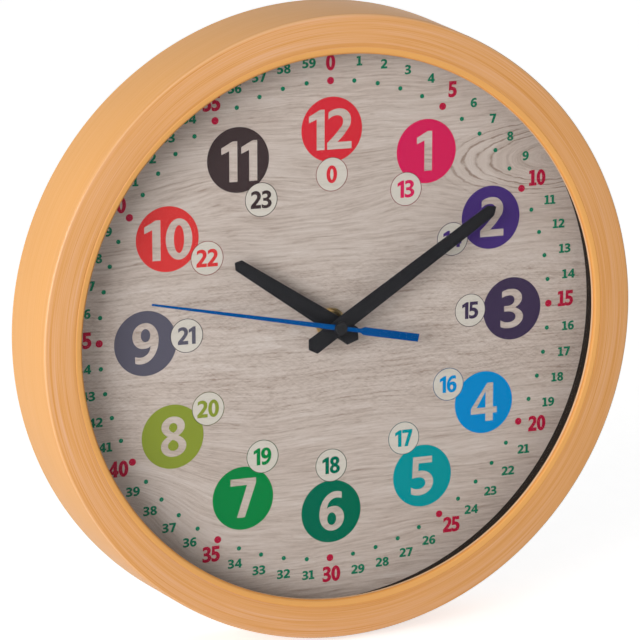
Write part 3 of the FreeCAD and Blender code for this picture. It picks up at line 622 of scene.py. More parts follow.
@dataclass(frozen=True)
class EdgedFinish(Finish):
    """A finish with rounded edges that are rubbed here and there."""

    edge_width: float = 0.2
    edge_wear: float = 0.25
    edge_colour: Colour = (0.85, 0.85, 0.82, 1.0)

    def edged(self, wiring: Wiring) -> tuple[Signal, Signal]:
        """Give the colour with its rubbed edges, and their rounded normal.

        Args:
            wiring: The material's wiring.

        Returns:
            Colour and normal.
        """
        edge = wiring.effect(Effect.WORN_EDGE, {
            "Width": self.edge_width, "Strength": self.edge_wear})
        colour = edge["Wear"].blend(self.drifting(wiring, self.colour), self.edge_colour)
        return colour, edge["Normal"]


class Skin(Enum):
    """Skins of moulded plastic: grain size, and depth of the grain."""

    POLISHED = (0.9, 0.004)
    FINE = (0.45, 0.012)
    COARSE = (0.8, 0.035)


@dataclass(frozen=True)
class PlasticFinish(EdgedFinish):
    """Moulded plastic or paint with a fine skin and lightly rubbed edges."""

    spot_size: float = 9.0
    drift: float = 0.05
    skin: Skin = Skin.FINE

    def dress(self, wiring: Wiring) -> Feeds:
        """Add the drift of tone, the skin and the rubbed edges.

        Args:
            wiring: The material's wiring.

        Returns:
            What feeds the shader's inputs.
        """
        grain, depth = self.skin.value
        colour, normal = self.edged(wiring)
        skinned = replace(self, grain=grain, grain_depth=depth)
        return {"Base Color": colour, **skinned.grained(wiring, normal)}


@dataclass(frozen=True)
class Zone:
    """A part of the ring where another colour comes in between two radii."""

    start: float
    full: float
    share: float
    colour: Colour
    smooth: bool = False


@dataclass(frozen=True)
class RingFinish(Finish):
    """Wood-look plastic of the ring: streaks along its circumference, in bands of two hues."""

    spot_size: float = 40.0
    drift: float = 0.03
    streak_depth: float = 0.03
    rough_swing: float = 0.06
    fine_lines: tuple[float, float, float] = (0.42, 2.0, 0.73)
    broad_lines: tuple[float, float, float] = (1.5, 1.4, 0.27)
    orange: Colour = tone(222, 153, 80)
    pink: Colour = tone(237, 182, 140)
    lip: Colour = tone(243, 179, 102)
    # Painted shade: dark orange for the line where the bevel rolls into the window's bore.
    rim: Colour = tone(228, 142, 66)
    # Painted highlight: pale colour for the lit line along the shoulder and for the lit bore
    # wall.
    shine: Colour = tone(255, 226, 188)
    tone_stops: tuple[float, float, float] = (0.35, 0.5, 0.64)
    # The last zone paints shade: the dark-orange line round the window's corner.
    zones: tuple[Zone, ...] = (
        Zone(149.7, 150.3, 0.6, lip), Zone(137.2, 135.4, 0.45, orange, True),
        Zone(134.9, 134.1, 0.75, lip, True), Zone(131.9, 131.6, 0.55, rim))
    # Depths where the painted highlight comes in on the bore wall.
    bore_fade: Point = (-38.4, -38.0)
    front_fade: Point = (-38.9, -39.4)
    shoulder_radius: float = 149.5
    shoulder_fade: Point = (0.6, 0.2)
    # Share of painted highlight in the shoulder's colour; the shoulder's coat is real gloss.
    shoulder_light: float = 0.15
    shoulder_coat: float = 0.55
    coat_roughness: float = 0.15

    def dress(self, wiring: Wiring) -> Feeds:
        """Add streaks to colour, roughness and height, the glossy shoulder with a painted
        highlight along it, and a painted shade line and a painted highlight round the window's
        bore.

        Args:
            wiring: The material's wiring.

        Returns:
            What feeds the shader's inputs.
        """
        x, y, z = wiring.own_place().split()
        radius = x.length(z)
        fine, broad = (wiring.effect(Effect.TURNED_LINES, {
            "Line Width": width, "Break": breaks})["Streak"]
            for width, breaks, _ in (self.fine_lines, self.broad_lines))
        value = fine * self.fine_lines[2] + broad * self.broad_lines[2]
        colour = value.ramp(list(zip(self.tone_stops, (self.orange, self.colour, self.pink))))
        for zone in self.zones:
            share = radius.fit(zone.start, zone.full, 0.0, zone.share, zone.smooth)
            colour = share.blend(colour, zone.colour)
        # Painted highlight on the bore wall, inside the painted shade line of the last zone.
        colour = (y.fit(*self.bore_fade) * share).blend(colour, self.shine)
        aside = (radius - self.shoulder_radius).math("ABSOLUTE")
        shoulder = aside.fit(*self.shoulder_fade, smooth=True) * y.fit(*self.front_fade)
        # Painted highlight along the shoulder, on top of its real glossy coat.
        colour = (shoulder * self.shoulder_light).blend(colour, self.shine)
        return {"Base Color": self.drifting(wiring, colour),
                "Roughness": self.swinging(fine, self.rough_swing),
                "Coat Weight": shoulder * self.shoulder_coat,
                "Coat Roughness": self.coat_roughness,
                "Normal": fine.bump(self.streak_depth)}


@dataclass(frozen=True)
class BoardPrintFinish(Finish):
    """The dial's printed board, or thin white ink through which it shows."""

    dark: Colour = tone(158, 139, 127)
    pale: Colour = tone(220, 210, 203)
    contrast: float = 1.35

    def dress(self, wiring: Wiring) -> Feeds:
        """Add the printed board and the paper's slight unevenness."""
        board = wiring.effect(Effect.WOOD_PRINT, {
            "Dark": self.dark, "Middle": self.colour, "Pale": self.pale,
            "Contrast": self.contrast})
        return {"Base Color": board["Colour"], **self.grained(wiring)}


@dataclass(frozen=True)
class InkFinish(Finish):
    """Printing ink with a faint mottle and a slight unevenness."""

    spot_size: float = 1.6
    drift: float = 0.05
    grain: float = 0.4
    grain_depth: float = 0.003

    def dress(self, wiring: Wiring) -> Feeds:
        """Add the mottle and the unevenness."""
        return {**super().dress(wiring), **self.grained(wiring)}


class Working(Enum):
    """How a metal part got its surface."""

    ROLLED = "rolled"
    TURNED = "turned"


@dataclass(frozen=True)
class MetalFinish(EdgedFinish):
    """Metal with the lines of its working and brighter edges."""

    metallic: float = 1.0
    spot_size: float = 5.0
    drift: float = 0.08
    edge_width: float = 0.12
    edge_wear: float = 0.6
    working: Working = Working.ROLLED
    line_width: float = 0.25
    line_depth: float = 0.008
    line_break: float = 2.0
    rough_swing: float = 0.1

    def dress(self, wiring: Wiring) -> Feeds:
        """Add the working lines to roughness and height, and the bright edges.

        Args:
            wiring: The material's wiring.

        Returns:
            What feeds the shader's inputs.
        """
        if self.working is Working.TURNED:
            height = wiring.effect(Effect.TURNED_LINES, {
                "Line Width": self.line_width, "Break": self.line_break})["Streak"]
            rough = self.swinging(height, self.rough_swing)
        else:
            lines = wiring.effect(Effect.DRAWN_LINES, {
                "Line Width": self.line_width, "Roughness": self.roughness})
            height, rough = lines["Height"], lines["Roughness"]
        colour, normal = self.edged(wiring)
        return {"Base Color": colour, "Roughness": rough,
                "Normal": height.bump(self.line_depth, normal)}


@dataclass(frozen=True)
class WindingFinish(Finish):
    """Enamelled wire in close turns round a bobbin that lies along x."""

    metallic: float = 1.0
    spot_size: float = 2.0
    drift: float = 0.12
    wire: float = 0.16
    turn_depth: float = 0.05
    shade: Colour = tone(110, 52, 26)
    patch_stretch: tuple[float, float, float] = (2.4, 0.15, 0.15)
    patch_span: Point = (0.4, 0.7)

    def dress(self, wiring: Wiring) -> Feeds:
        """Add the turns as a wave along x, with a few darker turns.

        Args:
            wiring: The material's wiring.

        Returns:
            What feeds the shader's inputs.
        """
        place = wiring.own_place()
        turns = place.split()[0].math("PINGPONG", self.wire / 2)
        height = turns.fit(0.0, self.wire / 2, smooth=True)
        darker = place.stretched(*self.patch_stretch).noise().fit(*self.patch_span)
        return {"Base Color": darker.blend(self.drifting(wiring, self.colour), self.shade),
                "Normal": height.bump(self.turn_depth)}


@dataclass(frozen=True)
class CellSleeveFinish(Finish):
    """Printed sleeve of the round cell, with a band at the positive end and bare ends."""

    spot_size: float = 6.0
    grain: float = 0.9
    grain_depth: float = 0.006
    band: Colour = tone(196, 126, 62)
    bare: Colour = tone(206, 206, 204)
    band_start: float = 13.5
    band_end: float = 22.8
    sleeve_start: float = -24.6

    def dress(self, wiring: Wiring) -> Feeds:
        """Colour the cell by its place along x and make its ends metal.

        Args:
            wiring: The material's wiring.

        Returns:
            What feeds the shader's inputs.
        """
        x = wiring.own_place().split()[0]
        past_band = x.math("GREATER_THAN", self.band_end)
        bare = past_band.math("MAXIMUM", x.math("LESS_THAN", self.sleeve_start))
        banded = (x.math("GREATER_THAN", self.band_start) * x.math("LESS_THAN", self.band_end))
        colour = banded.blend(self.drifting(wiring, self.colour), self.band)
        return {"Base Color": bare.blend(colour, self.bare), "Metallic": bare,
                **self.grained(wiring)}


@dataclass(frozen=True)
class CircuitFinish(Finish):
    """Circuit board: varnish with copper tracks under it."""

    spot_size: float = 3.0
    drift: float = 0.1
    track: Colour = tone(52, 128, 76)
    tracks_per_mm: float = 0.34
    track_edge: Point = (0.16, 0.2)
    weave: float = 12.0
    weave_share: float = 0.15
    relief: float = 0.02

    def dress(self, wiring: Wiring) -> Feeds:
        """Add straight tracks in two directions, and the weave of the board.

        Args:
            wiring: The material's wiring.

        Returns:
            What feeds the shader's inputs.
        """
        place = wiring.own_place()
        x, _, z = place.split()
        cells = wiring.result("ShaderNodeTexVoronoi", {
            "Vector": place, "Scale": self.tracks_per_mm}, distance="CHEBYCHEV",
            feature="DISTANCE_TO_EDGE")
        tracks = cells.fit(*self.track_edge, 1.0, 0.0)
        weave = (x * self.weave).math("SINE") * (z * self.weave).math("SINE")
        return {"Base Color": tracks.blend(self.drifting(wiring, self.colour), self.track),
                "Normal": (tracks + weave * self.weave_share).bump(self.relief)}


@dataclass(frozen=True)
class GlassFinish(Finish):
    """Clear flat glass that lets daylight fall on the dial."""

    index: float = 1.08
    smear: float = 0.012
    smear_scale: float = 0.02
    smear_span: Point = (0.35, 0.75)

    def dress(self, wiring: Wiring) -> Feeds:
        """Make the shader clear, with the faintest smear in its roughness."""
        smear = wiring.own_place().noise(self.smear_scale).fit(*self.smear_span, 0.0,
                                                               self.smear)
        return {"Transmission Weight": 1.0, "IOR": self.index, "Roughness": smear}

    def surface(self, wiring: Wiring, shader: Signal) -> Signal:
        """Let shadow and diffuse rays pass straight through."""
        clear = wiring.result("ShaderNodeBsdfTransparent")
        return wiring.result("ShaderNodeMixShader", {
            0: wiring.rays("Shadow", "Diffuse"), 1: shader, 2: clear})


@dataclass(frozen=True)
class FloorFinish(Finish):
    """Pale studio floor that the camera sees as white, with the clock's shadow on it."""

    glow: float = 0.66

    def surface(self, wiring: Wiring, shader: Signal) -> Signal:
        """Add a glow that only straight, mirrored and transmitted sight gets."""
        light = wiring.result("ShaderNodeEmission", {
            "Color": (1.0, 1.0, 1.0, 1.0), "Strength": wiring.rays(*SIGHT) * self.glow})
        return wiring.result("ShaderNodeAddShader", {0: shader, 1: light})


RING_PLASTIC = RingFinish("ring_wood_look", tone(233, 171, 110), 0.42, specular=0.12)
CLEAR_GLASS = GlassFinish("window_glass", (1.0, 1.0, 1.0, 1.0), 0.0, specular=0.03)
DIAL_PRINT = BoardPrintFinish("printed_board", tone(203, 189, 179), 0.6, specular=0.15)
WHITE_INK = BoardPrintFinish("thin_white_ink", tone(216, 210, 199), 0.55, specular=0.15,
                             dark=tone(190, 182, 170), pale=tone(226, 221, 212), contrast=0.7)
BLACK_PAINT = PlasticFinish("hand_black_paint", tone(30, 30, 33), 0.5, specular=0.12,
                            edge_colour=tone(92, 92, 96))
BLUE_PAINT = PlasticFinish("hand_blue_paint", tone(0, 78, 146), 0.45, specular=0.05,
                           edge_colour=tone(40, 120, 185))
CAP_PLASTIC = PlasticFinish("cap_plastic", tone(26, 26, 29), 0.32, specular=0.2,
                            edge_colour=tone(60, 60, 64), skin=Skin.POLISHED)
# Near-black plastic with a brown tint that is a painted reflection of the wood-look ring.
BLACK_PLASTIC = PlasticFinish("spacer_plastic", tone(36, 30, 27), 0.5, specular=0.1,
                              edge_colour=tone(64, 58, 54))
GREY_PLASTIC = PlasticFinish("cover_plastic", tone(196, 198, 198), 0.5, skin=Skin.COARSE,
                             edge_colour=tone(226, 227, 226), edge_width=0.4)
CASE_PLASTIC = PlasticFinish("case_plastic", tone(40, 41, 44), 0.46, skin=Skin.COARSE,
                             edge_colour=tone(86, 87, 90))
PLATE_PLASTIC = PlasticFinish("plate_plastic", tone(226, 226, 220), 0.4,
                              edge_colour=tone(244, 244, 240))
GEAR_PLASTIC = PlasticFinish("wheel_plastic", tone(232, 228, 214), 0.36,
                             edge_colour=tone(248, 246, 236), edge_width=0.1)
KNOB_PLASTIC = PlasticFinish("dial_knob_plastic", tone(214, 58, 48), 0.42,
                             edge_colour=tone(235, 110, 98))
RUBBER = PlasticFinish("washer_rubber", tone(30, 30, 31), 0.8, specular=0.25,
                       skin=Skin.COARSE, edge_colour=tone(60, 60, 60))
RESIN = PlasticFinish("chip_resin", tone(22, 22, 24), 0.3, skin=Skin.POLISHED,
                      edge_colour=tone(44, 44, 46))
STEEL = MetalFinish("screw_steel", tone(186, 188, 190), 0.3)
BRASS = MetalFinish("turned_brass", tone(206, 180, 130), 0.30, working=Working.TURNED,
                    edge_colour=tone(240, 212, 150))
SPRING_STEEL = MetalFinish("spring_steel", tone(204, 202, 196), 0.24)
CORE_IRON = MetalFinish("laminated_iron", tone(150, 150, 150), 0.4)
MAGNET = MetalFinish("ring_magnet", tone(92, 92, 96), 0.45, working=Working.TURNED)
COPPER_WIRE = WindingFinish("winding_wire", tone(188, 98, 52), 0.35)
CELL_SLEEVE = CellSleeveFinish("cell_sleeve", tone(44, 66, 92), 0.35)
BOARD = CircuitFinish("circuit_board", tone(30, 92, 54), 0.4)
FLOOR = FloorFinish("studio_floor", tone(238, 238, 238), 0.9, specular=0.2)


# Meshes

@dataclass(frozen=True)
class Corner:
    """A corner of a turned profile, with the size of its rounding."""

    radius: float
    depth: float
    rounding: float = 0.0

    def place(self) -> Vector:
        """Give radius and depth."""
        return Vector((self.radius, self.depth))


class MeshShop:
    """Builds meshes, in millimetres until the last step."""

    ROUND_STEPS = 5
    SHARP_ANGLE = 32.0
    SAME_PLACE = 1e-5

    @classmethod
    def rounded(cls, profile: Sequence[Corner]) -> list[Vector]:
        """Round the corners of a closed profile.

        Args:
            profile: The corners in order.

        Returns:
            The points of the rounded profile, as radius and depth.
        """
        points = []
        for index, corner in enumerate(profile):
            here = corner.place()
            if corner.rounding == 0:
                points.append(here)
                continue
            back = profile[index - 1].place() - here
            ahead = profile[(index + 1) % len(profile)].place() - here
            reach = min(corner.rounding / math.tan(back.angle(ahead) / 2), back.length / 2,
                        ahead.length / 2)
            start, end = (here + way.normalized() * reach for way in (back, ahead))
            for share in (step / cls.ROUND_STEPS for step in range(cls.ROUND_STEPS + 1)):
                points.append(start * (1 - share) ** 2 + here * 2 * share * (1 - share)
                              + end * share ** 2)
        return points

    @classmethod
    def turned(cls, profile: Sequence[Corner], count: int) -> bpy.types.Mesh:
        """Turn a closed profile round the hands' axis.

        Args:
            profile: Its corners.
            count: How many steps make a full turn.

        Returns:
            The mesh.
        """
        points = cls.rounded(profile)
        built = bmesh.new()
        rings = []
        for step in range(count):
            angle = 2 * math.pi * step / count
            rings.append([built.verts.new((p.x * math.sin(angle), -p.y, p.x * math.cos(angle)))
                          for p in points])
        for ring, following in zip(rings, rings[1:] + rings[:1]):
            for index in range(len(points)):
                after = (index + 1) % len(points)
                built.faces.new((ring[index], ring[after], following[after], following[index]))
        return cls.closed(built)

    @classmethod
    def blocks(cls, places: Iterable[tuple[float, float]], radii: Point, depths: Point,
               edge: float) -> bpy.types.Mesh:
        """Build upright blocks round the axis with softened edges.

        Args:
            places: Each block's dial angle and width.
            radii: Radii where the blocks start and end.
            depths: Depths of their rear and front faces.
            edge: Width of the softened edges.

        Returns:
            One mesh of all blocks.
        """
        (inner, outer), (rear, front) = radii, depths
        built = bmesh.new()
        for angle, width in places:
            made = bmesh.ops.create_cube(built, size=1.0)
            place = (Matrix.Rotation(math.radians(angle), 4, "Y")
                     @ Matrix.Translation((0, -(rear + front) / 2, (inner + outer) / 2))
                     @ Matrix.Diagonal((width, front - rear, outer - inner, 1)))
            bmesh.ops.transform(built, matrix=place, verts=made["verts"])
        bmesh.ops.bevel(built, geom=list(built.edges), offset=edge, segments=2, profile=0.5,
                        affect="EDGES")
        return cls.closed(built)

    @classmethod
    def cut_out(cls, loops: Iterable[Loop], rear: float, front: float,
                edge: float = 0.0, bolder: float = 0.0) -> bpy.types.Mesh:
        """Cut a flat piece out of a sheet: loops inside others are its holes.

        Args:
            loops: Outlines of x and z points.
            rear: Depth of the rear face.
            front: Depth of the front face.
            edge: Width of the rounded edges.
            bolder: How far the outlines grow.

        Returns:
            The mesh.
        """
        curve = bpy.data.curves.new("outline", "CURVE")
        curve.dimensions = "2D"
        curve.fill_mode = "BOTH"
        curve.extrude = (front - rear) / 2 - edge
        curve.bevel_depth = edge
        curve.bevel_resolution = 1
        curve.offset = bolder - edge
        for loop in loops:
            spline = curve.splines.new("POLY")
            spline.points.add(len(loop) - 1)
            for point, (x, z) in zip(spline.points, loop):
                point.co = (x, z, 0, 1)
            spline.use_cyclic_u = True
        holder = bpy.data.objects.new("outline", curve)
        mesh = bpy.data.meshes.new_from_object(holder)
        bpy.data.objects.remove(holder)
        bpy.data.curves.remove(curve)
        built = bmesh.new()
        built.from_mesh(mesh)
        bpy.data.meshes.remove(mesh)
        bmesh.ops.remove_doubles(built, verts=built.verts, dist=cls.SAME_PLACE)
        upright = Matrix.Translation((0, -(rear + front) / 2, 0)) @ Matrix.Rotation(
            math.radians(90), 4, "X")
        bmesh.ops.transform(built, matrix=upright, verts=built.verts)
        return cls.closed(built)

    @staticmethod
    def closed(built: bmesh.types.BMesh) -> bpy.types.Mesh:
        """Finish a mesh in millimetres: faces outwards, and lengths in metres.

        Args:
            built: The mesh as built.

        Returns:
            The finished mesh.
        """
        bmesh.ops.recalc_face_normals(built, faces=built.faces)
        bmesh.ops.scale(built, vec=(MM, MM, MM), verts=built.verts)
        mesh = bpy.data.meshes.new("made")
        built.to_mesh(mesh)
        built.free()
        return mesh

    @classmethod
    def piece(cls, name: str, meshes: Sequence[bpy.types.Mesh], finish: Finish, body: str,
              stands_for: str | None = None, slot: str | None = None) -> None:
        """Join meshes to one piece of the clock.

        Args:
            name: Name of the piece.
            meshes: What it is made of.
            finish: Its finish.
            body: The body that it rides on.
            stands_for: The CAD node that it stands for, where there is one.
            slot: A name for its finish's slot; not used.
        """
        built = bmesh.new()
        for mesh in meshes:
            built.from_mesh(mesh)
            bpy.data.meshes.remove(mesh)
        whole = bpy.data.meshes.new(name)
        built.to_mesh(whole)
        built.free()
        whole.shade_smooth()
        whole.set_sharp_from_angle(angle=math.radians(cls.SHARP_ANGLE))
        made = bpy.data.objects.new(name, whole)
        bpy.context.scene.collection.objects.link(made)
        made.data.materials.append(finish.material())
        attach(made, body)
        if stands_for:
            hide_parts(stands_for)
        LOG.info("%s: %d faces, on %s", name, len(whole.polygons), body)


def dress_node(name: str, finish: Finish) -> None:
    """Give a CAD node its finish.

    Args:
        name: The node.
        finish: Its finish.
    """
    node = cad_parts[name]
    material = finish.material()
    if not node.material_slots:
        node.data.materials.append(material)
    for held in node.material_slots:
        held.material = material
    LOG.info("%s: CAD node in %s", name, finish.name)


# Numerals

class Way(Enum):
    """How an outline runs through one of its points.

    The values are the shares of the way to a neighbour, across and up, where the handle
    stands that pulls the curve.
    """

    LEVEL = (0.56, 0.0)
    UPRIGHT = (0.0, 0.56)
    NOTCH = (0.33, 0.12)
    FREE = (1 / 3, 1 / 3)


H, V, F, N = Way.LEVEL, Way.UPRIGHT, Way.FREE, Way.NOTCH
OutlinePoint = tuple[float, float] | tuple[float, float, Way]


@dataclass(frozen=True)
class Digit:
    """A digit's outlines at height 1, from the baseline up, the first round it and then holes.

    A point without a way is a corner.
    """

    width: float
    loops: tuple[tuple[OutlinePoint, ...], ...]

    def turned_over(self) -> "Digit":
        """Give the digit turned half round."""
        return Digit(self.width, tuple(
            tuple((self.width - p[0], 1 - p[1], *p[2:]) for p in loop) for loop in self.loops))


DIGITS = {
    "0": Digit(0.69, (
        ((0.0, 0.5, V), (0.345, 1.01, H), (0.69, 0.5, V), (0.345, -0.01, H)),
        ((0.215, 0.5, V), (0.345, 0.155, H), (0.475, 0.5, V), (0.345, 0.84, H)),
    )),
    "1": Digit(0.42, (
        ((0.205, 0.0), (0.42, 0.0), (0.42, 1.0), (0.295, 1.0), (0.0, 0.845), (0.0, 0.68),
         (0.205, 0.765)),
    )),
    "1 with foot": Digit(0.56, (
        ((0.0, 0.0), (0.56, 0.0), (0.56, 0.15), (0.39, 0.15), (0.39, 1.0), (0.2, 1.0),
         (0.0, 0.95), (0.0, 0.8), (0.17, 0.835), (0.17, 0.15), (0.0, 0.15)),
    )),
    "2": Digit(0.655, (
        ((0.0, 0.0), (0.655, 0.0), (0.655, 0.18), (0.275, 0.18), (0.49, 0.4, F),
         (0.64, 0.72, V), (0.325, 1.01, H), (0.035, 0.92), (0.035, 0.745),
         (0.27, 0.84, H), (0.425, 0.7, V), (0.33, 0.5, F), (0.0, 0.165)),
    )),
    "3": Digit(0.64, (
        ((0.035, 0.95), (0.035, 0.785), (0.265, 0.845, H), (0.39, 0.72, V),
         (0.2, 0.575, H), (0.10, 0.575), (0.10, 0.43), (0.2, 0.43, H),
         (0.425, 0.285, V), (0.225, 0.145, H), (0.0, 0.22), (0.0, 0.045),
         (0.235, -0.01, H), (0.64, 0.275, V), (0.41, 0.52, N), (0.605, 0.76, V),
         (0.3, 1.01, H)),
    )),
    "4": Digit(0.755, (
        ((0.43, 0.0), (0.645, 0.0), (0.645, 0.2), (0.755, 0.2), (0.755, 0.36), (0.645, 0.36),
         (0.645, 1.0), (0.475, 1.0), (0.02, 0.345), (0.02, 0.2), (0.43, 0.2)),
        ((0.185, 0.36), (0.43, 0.77), (0.43, 0.36)),
    )),
    "5": Digit(0.62, (
        ((0.055, 1.0), (0.585, 1.0), (0.585, 0.83), (0.21, 0.83), (0.2, 0.63),
         (0.265, 0.635, H), (0.62, 0.325, V), (0.22, -0.01, H), (0.0, 0.045),
         (0.0, 0.22), (0.2, 0.155, H), (0.4, 0.305, V), (0.22, 0.465, H),
         (0.03, 0.445)),
    )),
    "6": Digit(0.68, (
        ((0.615, 0.975), (0.615, 0.81), (0.475, 0.84, H), (0.215, 0.565, V),
         (0.4, 0.63, H), (0.68, 0.32, V), (0.345, -0.01, H), (0.0, 0.42, V),
         (0.46, 1.01, H)),
        ((0.335, 0.465, H), (0.46, 0.305, V), (0.345, 0.14, H), (0.22, 0.3, V)),
    )),
    "7": Digit(0.685, (
        ((0.165, 0.0), (0.38, 0.0), (0.685, 0.865), (0.685, 1.0), (0.0, 1.0), (0.0, 0.825),
         (0.44, 0.825)),
    )),
    "8": Digit(0.685, (
        ((0.035, 0.745, V), (0.345, 1.01, H), (0.65, 0.76, V), (0.475, 0.52, N),
         (0.685, 0.265, V), (0.34, -0.01, H), (0.02, 0.26, V), (0.205, 0.51, N)),
        ((0.345, 0.845, H), (0.45, 0.735, V), (0.35, 0.6, N), (0.235, 0.725, V)),
        ((0.335, 0.425, N), (0.48, 0.27, V), (0.345, 0.145, H), (0.205, 0.265, V)),
    )),
}
DIGITS["9"] = DIGITS["6"].turned_over()


@dataclass(frozen=True)
class Lettering:
    """A size and cut of the plain numerals, and how they are drawn."""

    height: float
    gap: float
    stretch: float = 1.0
    foot: bool = False
    steps: int = 8
    bolder: float = 0.0

    FREE_REACH = 0.36

    def handle(self, points: Sequence[OutlinePoint], index: int, step: int) -> Point:
        """Give the place that pulls the curve at a point, on its way to a neighbour.

        Args:
            points: The outline's points.
            index: Which of them it is.
            step: 1 for the way to the next point, -1 for the way to the last one.

        Returns:
            The handle's place.
        """
        point, toward = points[index], points[(index + step) % len(points)]
        way = point[2] if len(point) > 2 else None
        if way is not Way.FREE:
            return part_way(point, toward, *(way or Way.FREE).value)
        after, before = points[(index + 1) % len(points)], points[index - 1]
        line = Vector((after[0] - before[0], after[1] - before[1])).normalized()
        reach = step * self.FREE_REACH * math.dist(toward[:2], point[:2])
        return (point[0] + line.x * reach, point[1] + line.y * reach)

    def loop(self, points: Sequence[OutlinePoint]) -> Loop:
        """Draw one outline through its points.

        Args:
            points: The outline's points.

        Returns:
            The drawn outline at height 1.
        """
        drawn: Loop = []
        for index, start in enumerate(points):
            following = (index + 1) % len(points)
            end = points[following]
            if len(start) == 2 and len(end) == 2:
                drawn.append((start[0], start[1]))
                continue
            leave, arrive = self.handle(points, index, 1), self.handle(points, following, -1)
            if len(start) == 2:
                leave = part_way(start, arrive, *Way.FREE.value)
            if len(end) == 2:
                arrive = part_way(end, leave, *Way.FREE.value)
            for share in (step / self.steps for step in range(self.steps)):
                rest = 1 - share
                drawn.append(tuple(
                    rest ** 3 * start[axis] + 3 * rest ** 2 * share * leave[axis]
                    + 3 * rest * share ** 2 * arrive[axis] + share ** 3 * end[axis]
                    for axis in (0, 1)))
        return drawn

    def number(self, value: int, centre: Point) -> list[Loop]:
        """Draw a number centred on a place of the dial.

        Args:
            value: The number.
            centre: The place's x and z.

        Returns:
            The outlines of its digits.
        """
        loops = []
        cursor = 0.0
        for sign in str(value):
            digit = DIGITS["1 with foot" if sign == "1" and self.foot else sign]
            loops += [[(cursor + x, z) for x, z in self.loop(points)] for points in digit.loops]
            cursor += digit.width + self.gap
        middle = (cursor - self.gap) / 2
        return [[(centre[0] + (x - middle) * self.height * self.stretch,
                  centre[1] + (z - 0.5) * self.height) for x, z in loop] for loop in loops]


# Sub-assemblies

NodeFinishes = tuple[tuple[Finish, str], ...]


@dataclass(frozen=True)
class RingFrame:
    """The ring: tapered side, sloped front with its inner bevel, bore wall, ribs and bosses."""

    back_radius: float = 152.5
    front_radius: float = 150.0
    depth: float = 40.6
    shoulder: float = 1.4
    face_inner: float = 134.0
    face_inner_depth: float = 40.1
    face_round: float = 0.6
    groove: tuple[Corner, ...] = (Corner(1.1, 0.03, 0.3), Corner(0.8, -0.1, 0.1),
                                  Corner(0.5, 0.02, 0.2))
    roll_radius: float = 132.2
    roll_depth: float = 39.75
    roll_round: float = 0.8
    window_radius: float = 131.3
    bevel_foot: float = 38.8
    seat_depth: float = 36.5
    seat_round: float = 0.15
    bore_radius: float = 141.0
    bore_outer: float = 143.2
    cover_front: float = 4.0
    roof: float = 37.5
    roof_outer: float = 147.59
    wall_inner: float = 149.9
    corner_round: float = 0.3
    thin_edge_round: float = 0.2
    fillet: float = 0.5
    rib_width: float = 1.6
    rib_count: int = 24
    boss_width: float = 6.0
    boss_count: int = 6
    boss_start: float = 30.0
    block_outer: float = 148.9
    block_sunk: Point = (1.1, 1.0)
    steps: int = 360

    def profile(self) -> list[Corner]:
        """Give the ring's cross-section.

        Returns:
            Its corners, round the section.
        """
        return [
            Corner(self.back_radius, 0.0, self.corner_round),
            Corner(self.front_radius, self.depth, self.shoulder),
            *(Corner(self.face_inner + step.radius, self.face_inner_depth + step.depth,
                     step.rounding) for step in self.groove),
            Corner(self.face_inner, self.face_inner_depth, self.face_round),
            Corner(self.roll_radius, self.roll_depth, self.roll_round),
            Corner(self.window_radius, self.bevel_foot, self.fillet),
            Corner(self.window_radius, self.seat_depth, self.seat_round),
            Corner(self.bore_radius, self.seat_depth, self.corner_round),
            Corner(self.bore_radius, self.cover_front, self.thin_edge_round),
            Corner(self.bore_outer, self.cover_front, self.thin_edge_round),
            Corner(self.bore_outer, self.roof, self.fillet),
            Corner(self.roof_outer, self.roof, self.fillet),
            Corner(self.wall_inner, 0.0, self.thin_edge_round),
        ]

    def build(self) -> None:
        """Build the ring as one piece."""
        ribs = [(360 * (index + 0.5) / self.rib_count, self.rib_width)
                for index in range(self.rib_count)]
        bosses = [(self.boss_start + 360 * index / self.boss_count, self.boss_width)
                  for index in range(self.boss_count)]
        blocks = MeshShop.blocks(
            ribs + bosses, (self.bore_outer - self.block_sunk[0], self.block_outer),
            (self.cover_front, self.roof + self.block_sunk[1]), self.thin_edge_round)
        MeshShop.piece("ring_moulding", [MeshShop.turned(self.profile(), self.steps), blocks],
                       RING_PLASTIC, "root", "frame_ring", "wood_look_plastic")


LINE_DARK = tone(52, 46, 45)


@dataclass(frozen=True)
class HourMark:
    """One hour on the dial: its ink, places of its discs, and its numeral's nudge and gap."""

    hour: int
    ink_name: str
    ink_steps: tuple[int, int, int]
    place: Point
    day_place: Point
    nudge: Point = (0.0, 0.0)
    gap: float = 0.07

    @property
    def day_hour(self) -> int:
        """Give the hour's number after noon."""
        return 0 if self.hour == 12 else self.hour + 12

    @property
    def ink(self) -> InkFinish:
        """Give the hour's own ink."""
        return InkFinish(self.ink_name, tone(*self.ink_steps), 0.5, specular=0.06)

    @property
    def line_ink(self) -> InkFinish:
        """Give the darker ink of the fine line round the small disc."""
        colour = tuple(own * 0.3 + dark * 0.7 for own, dark in zip(self.ink.colour, LINE_DARK))
        return replace(self.ink, name=f"{self.ink_name}_line", colour=colour)


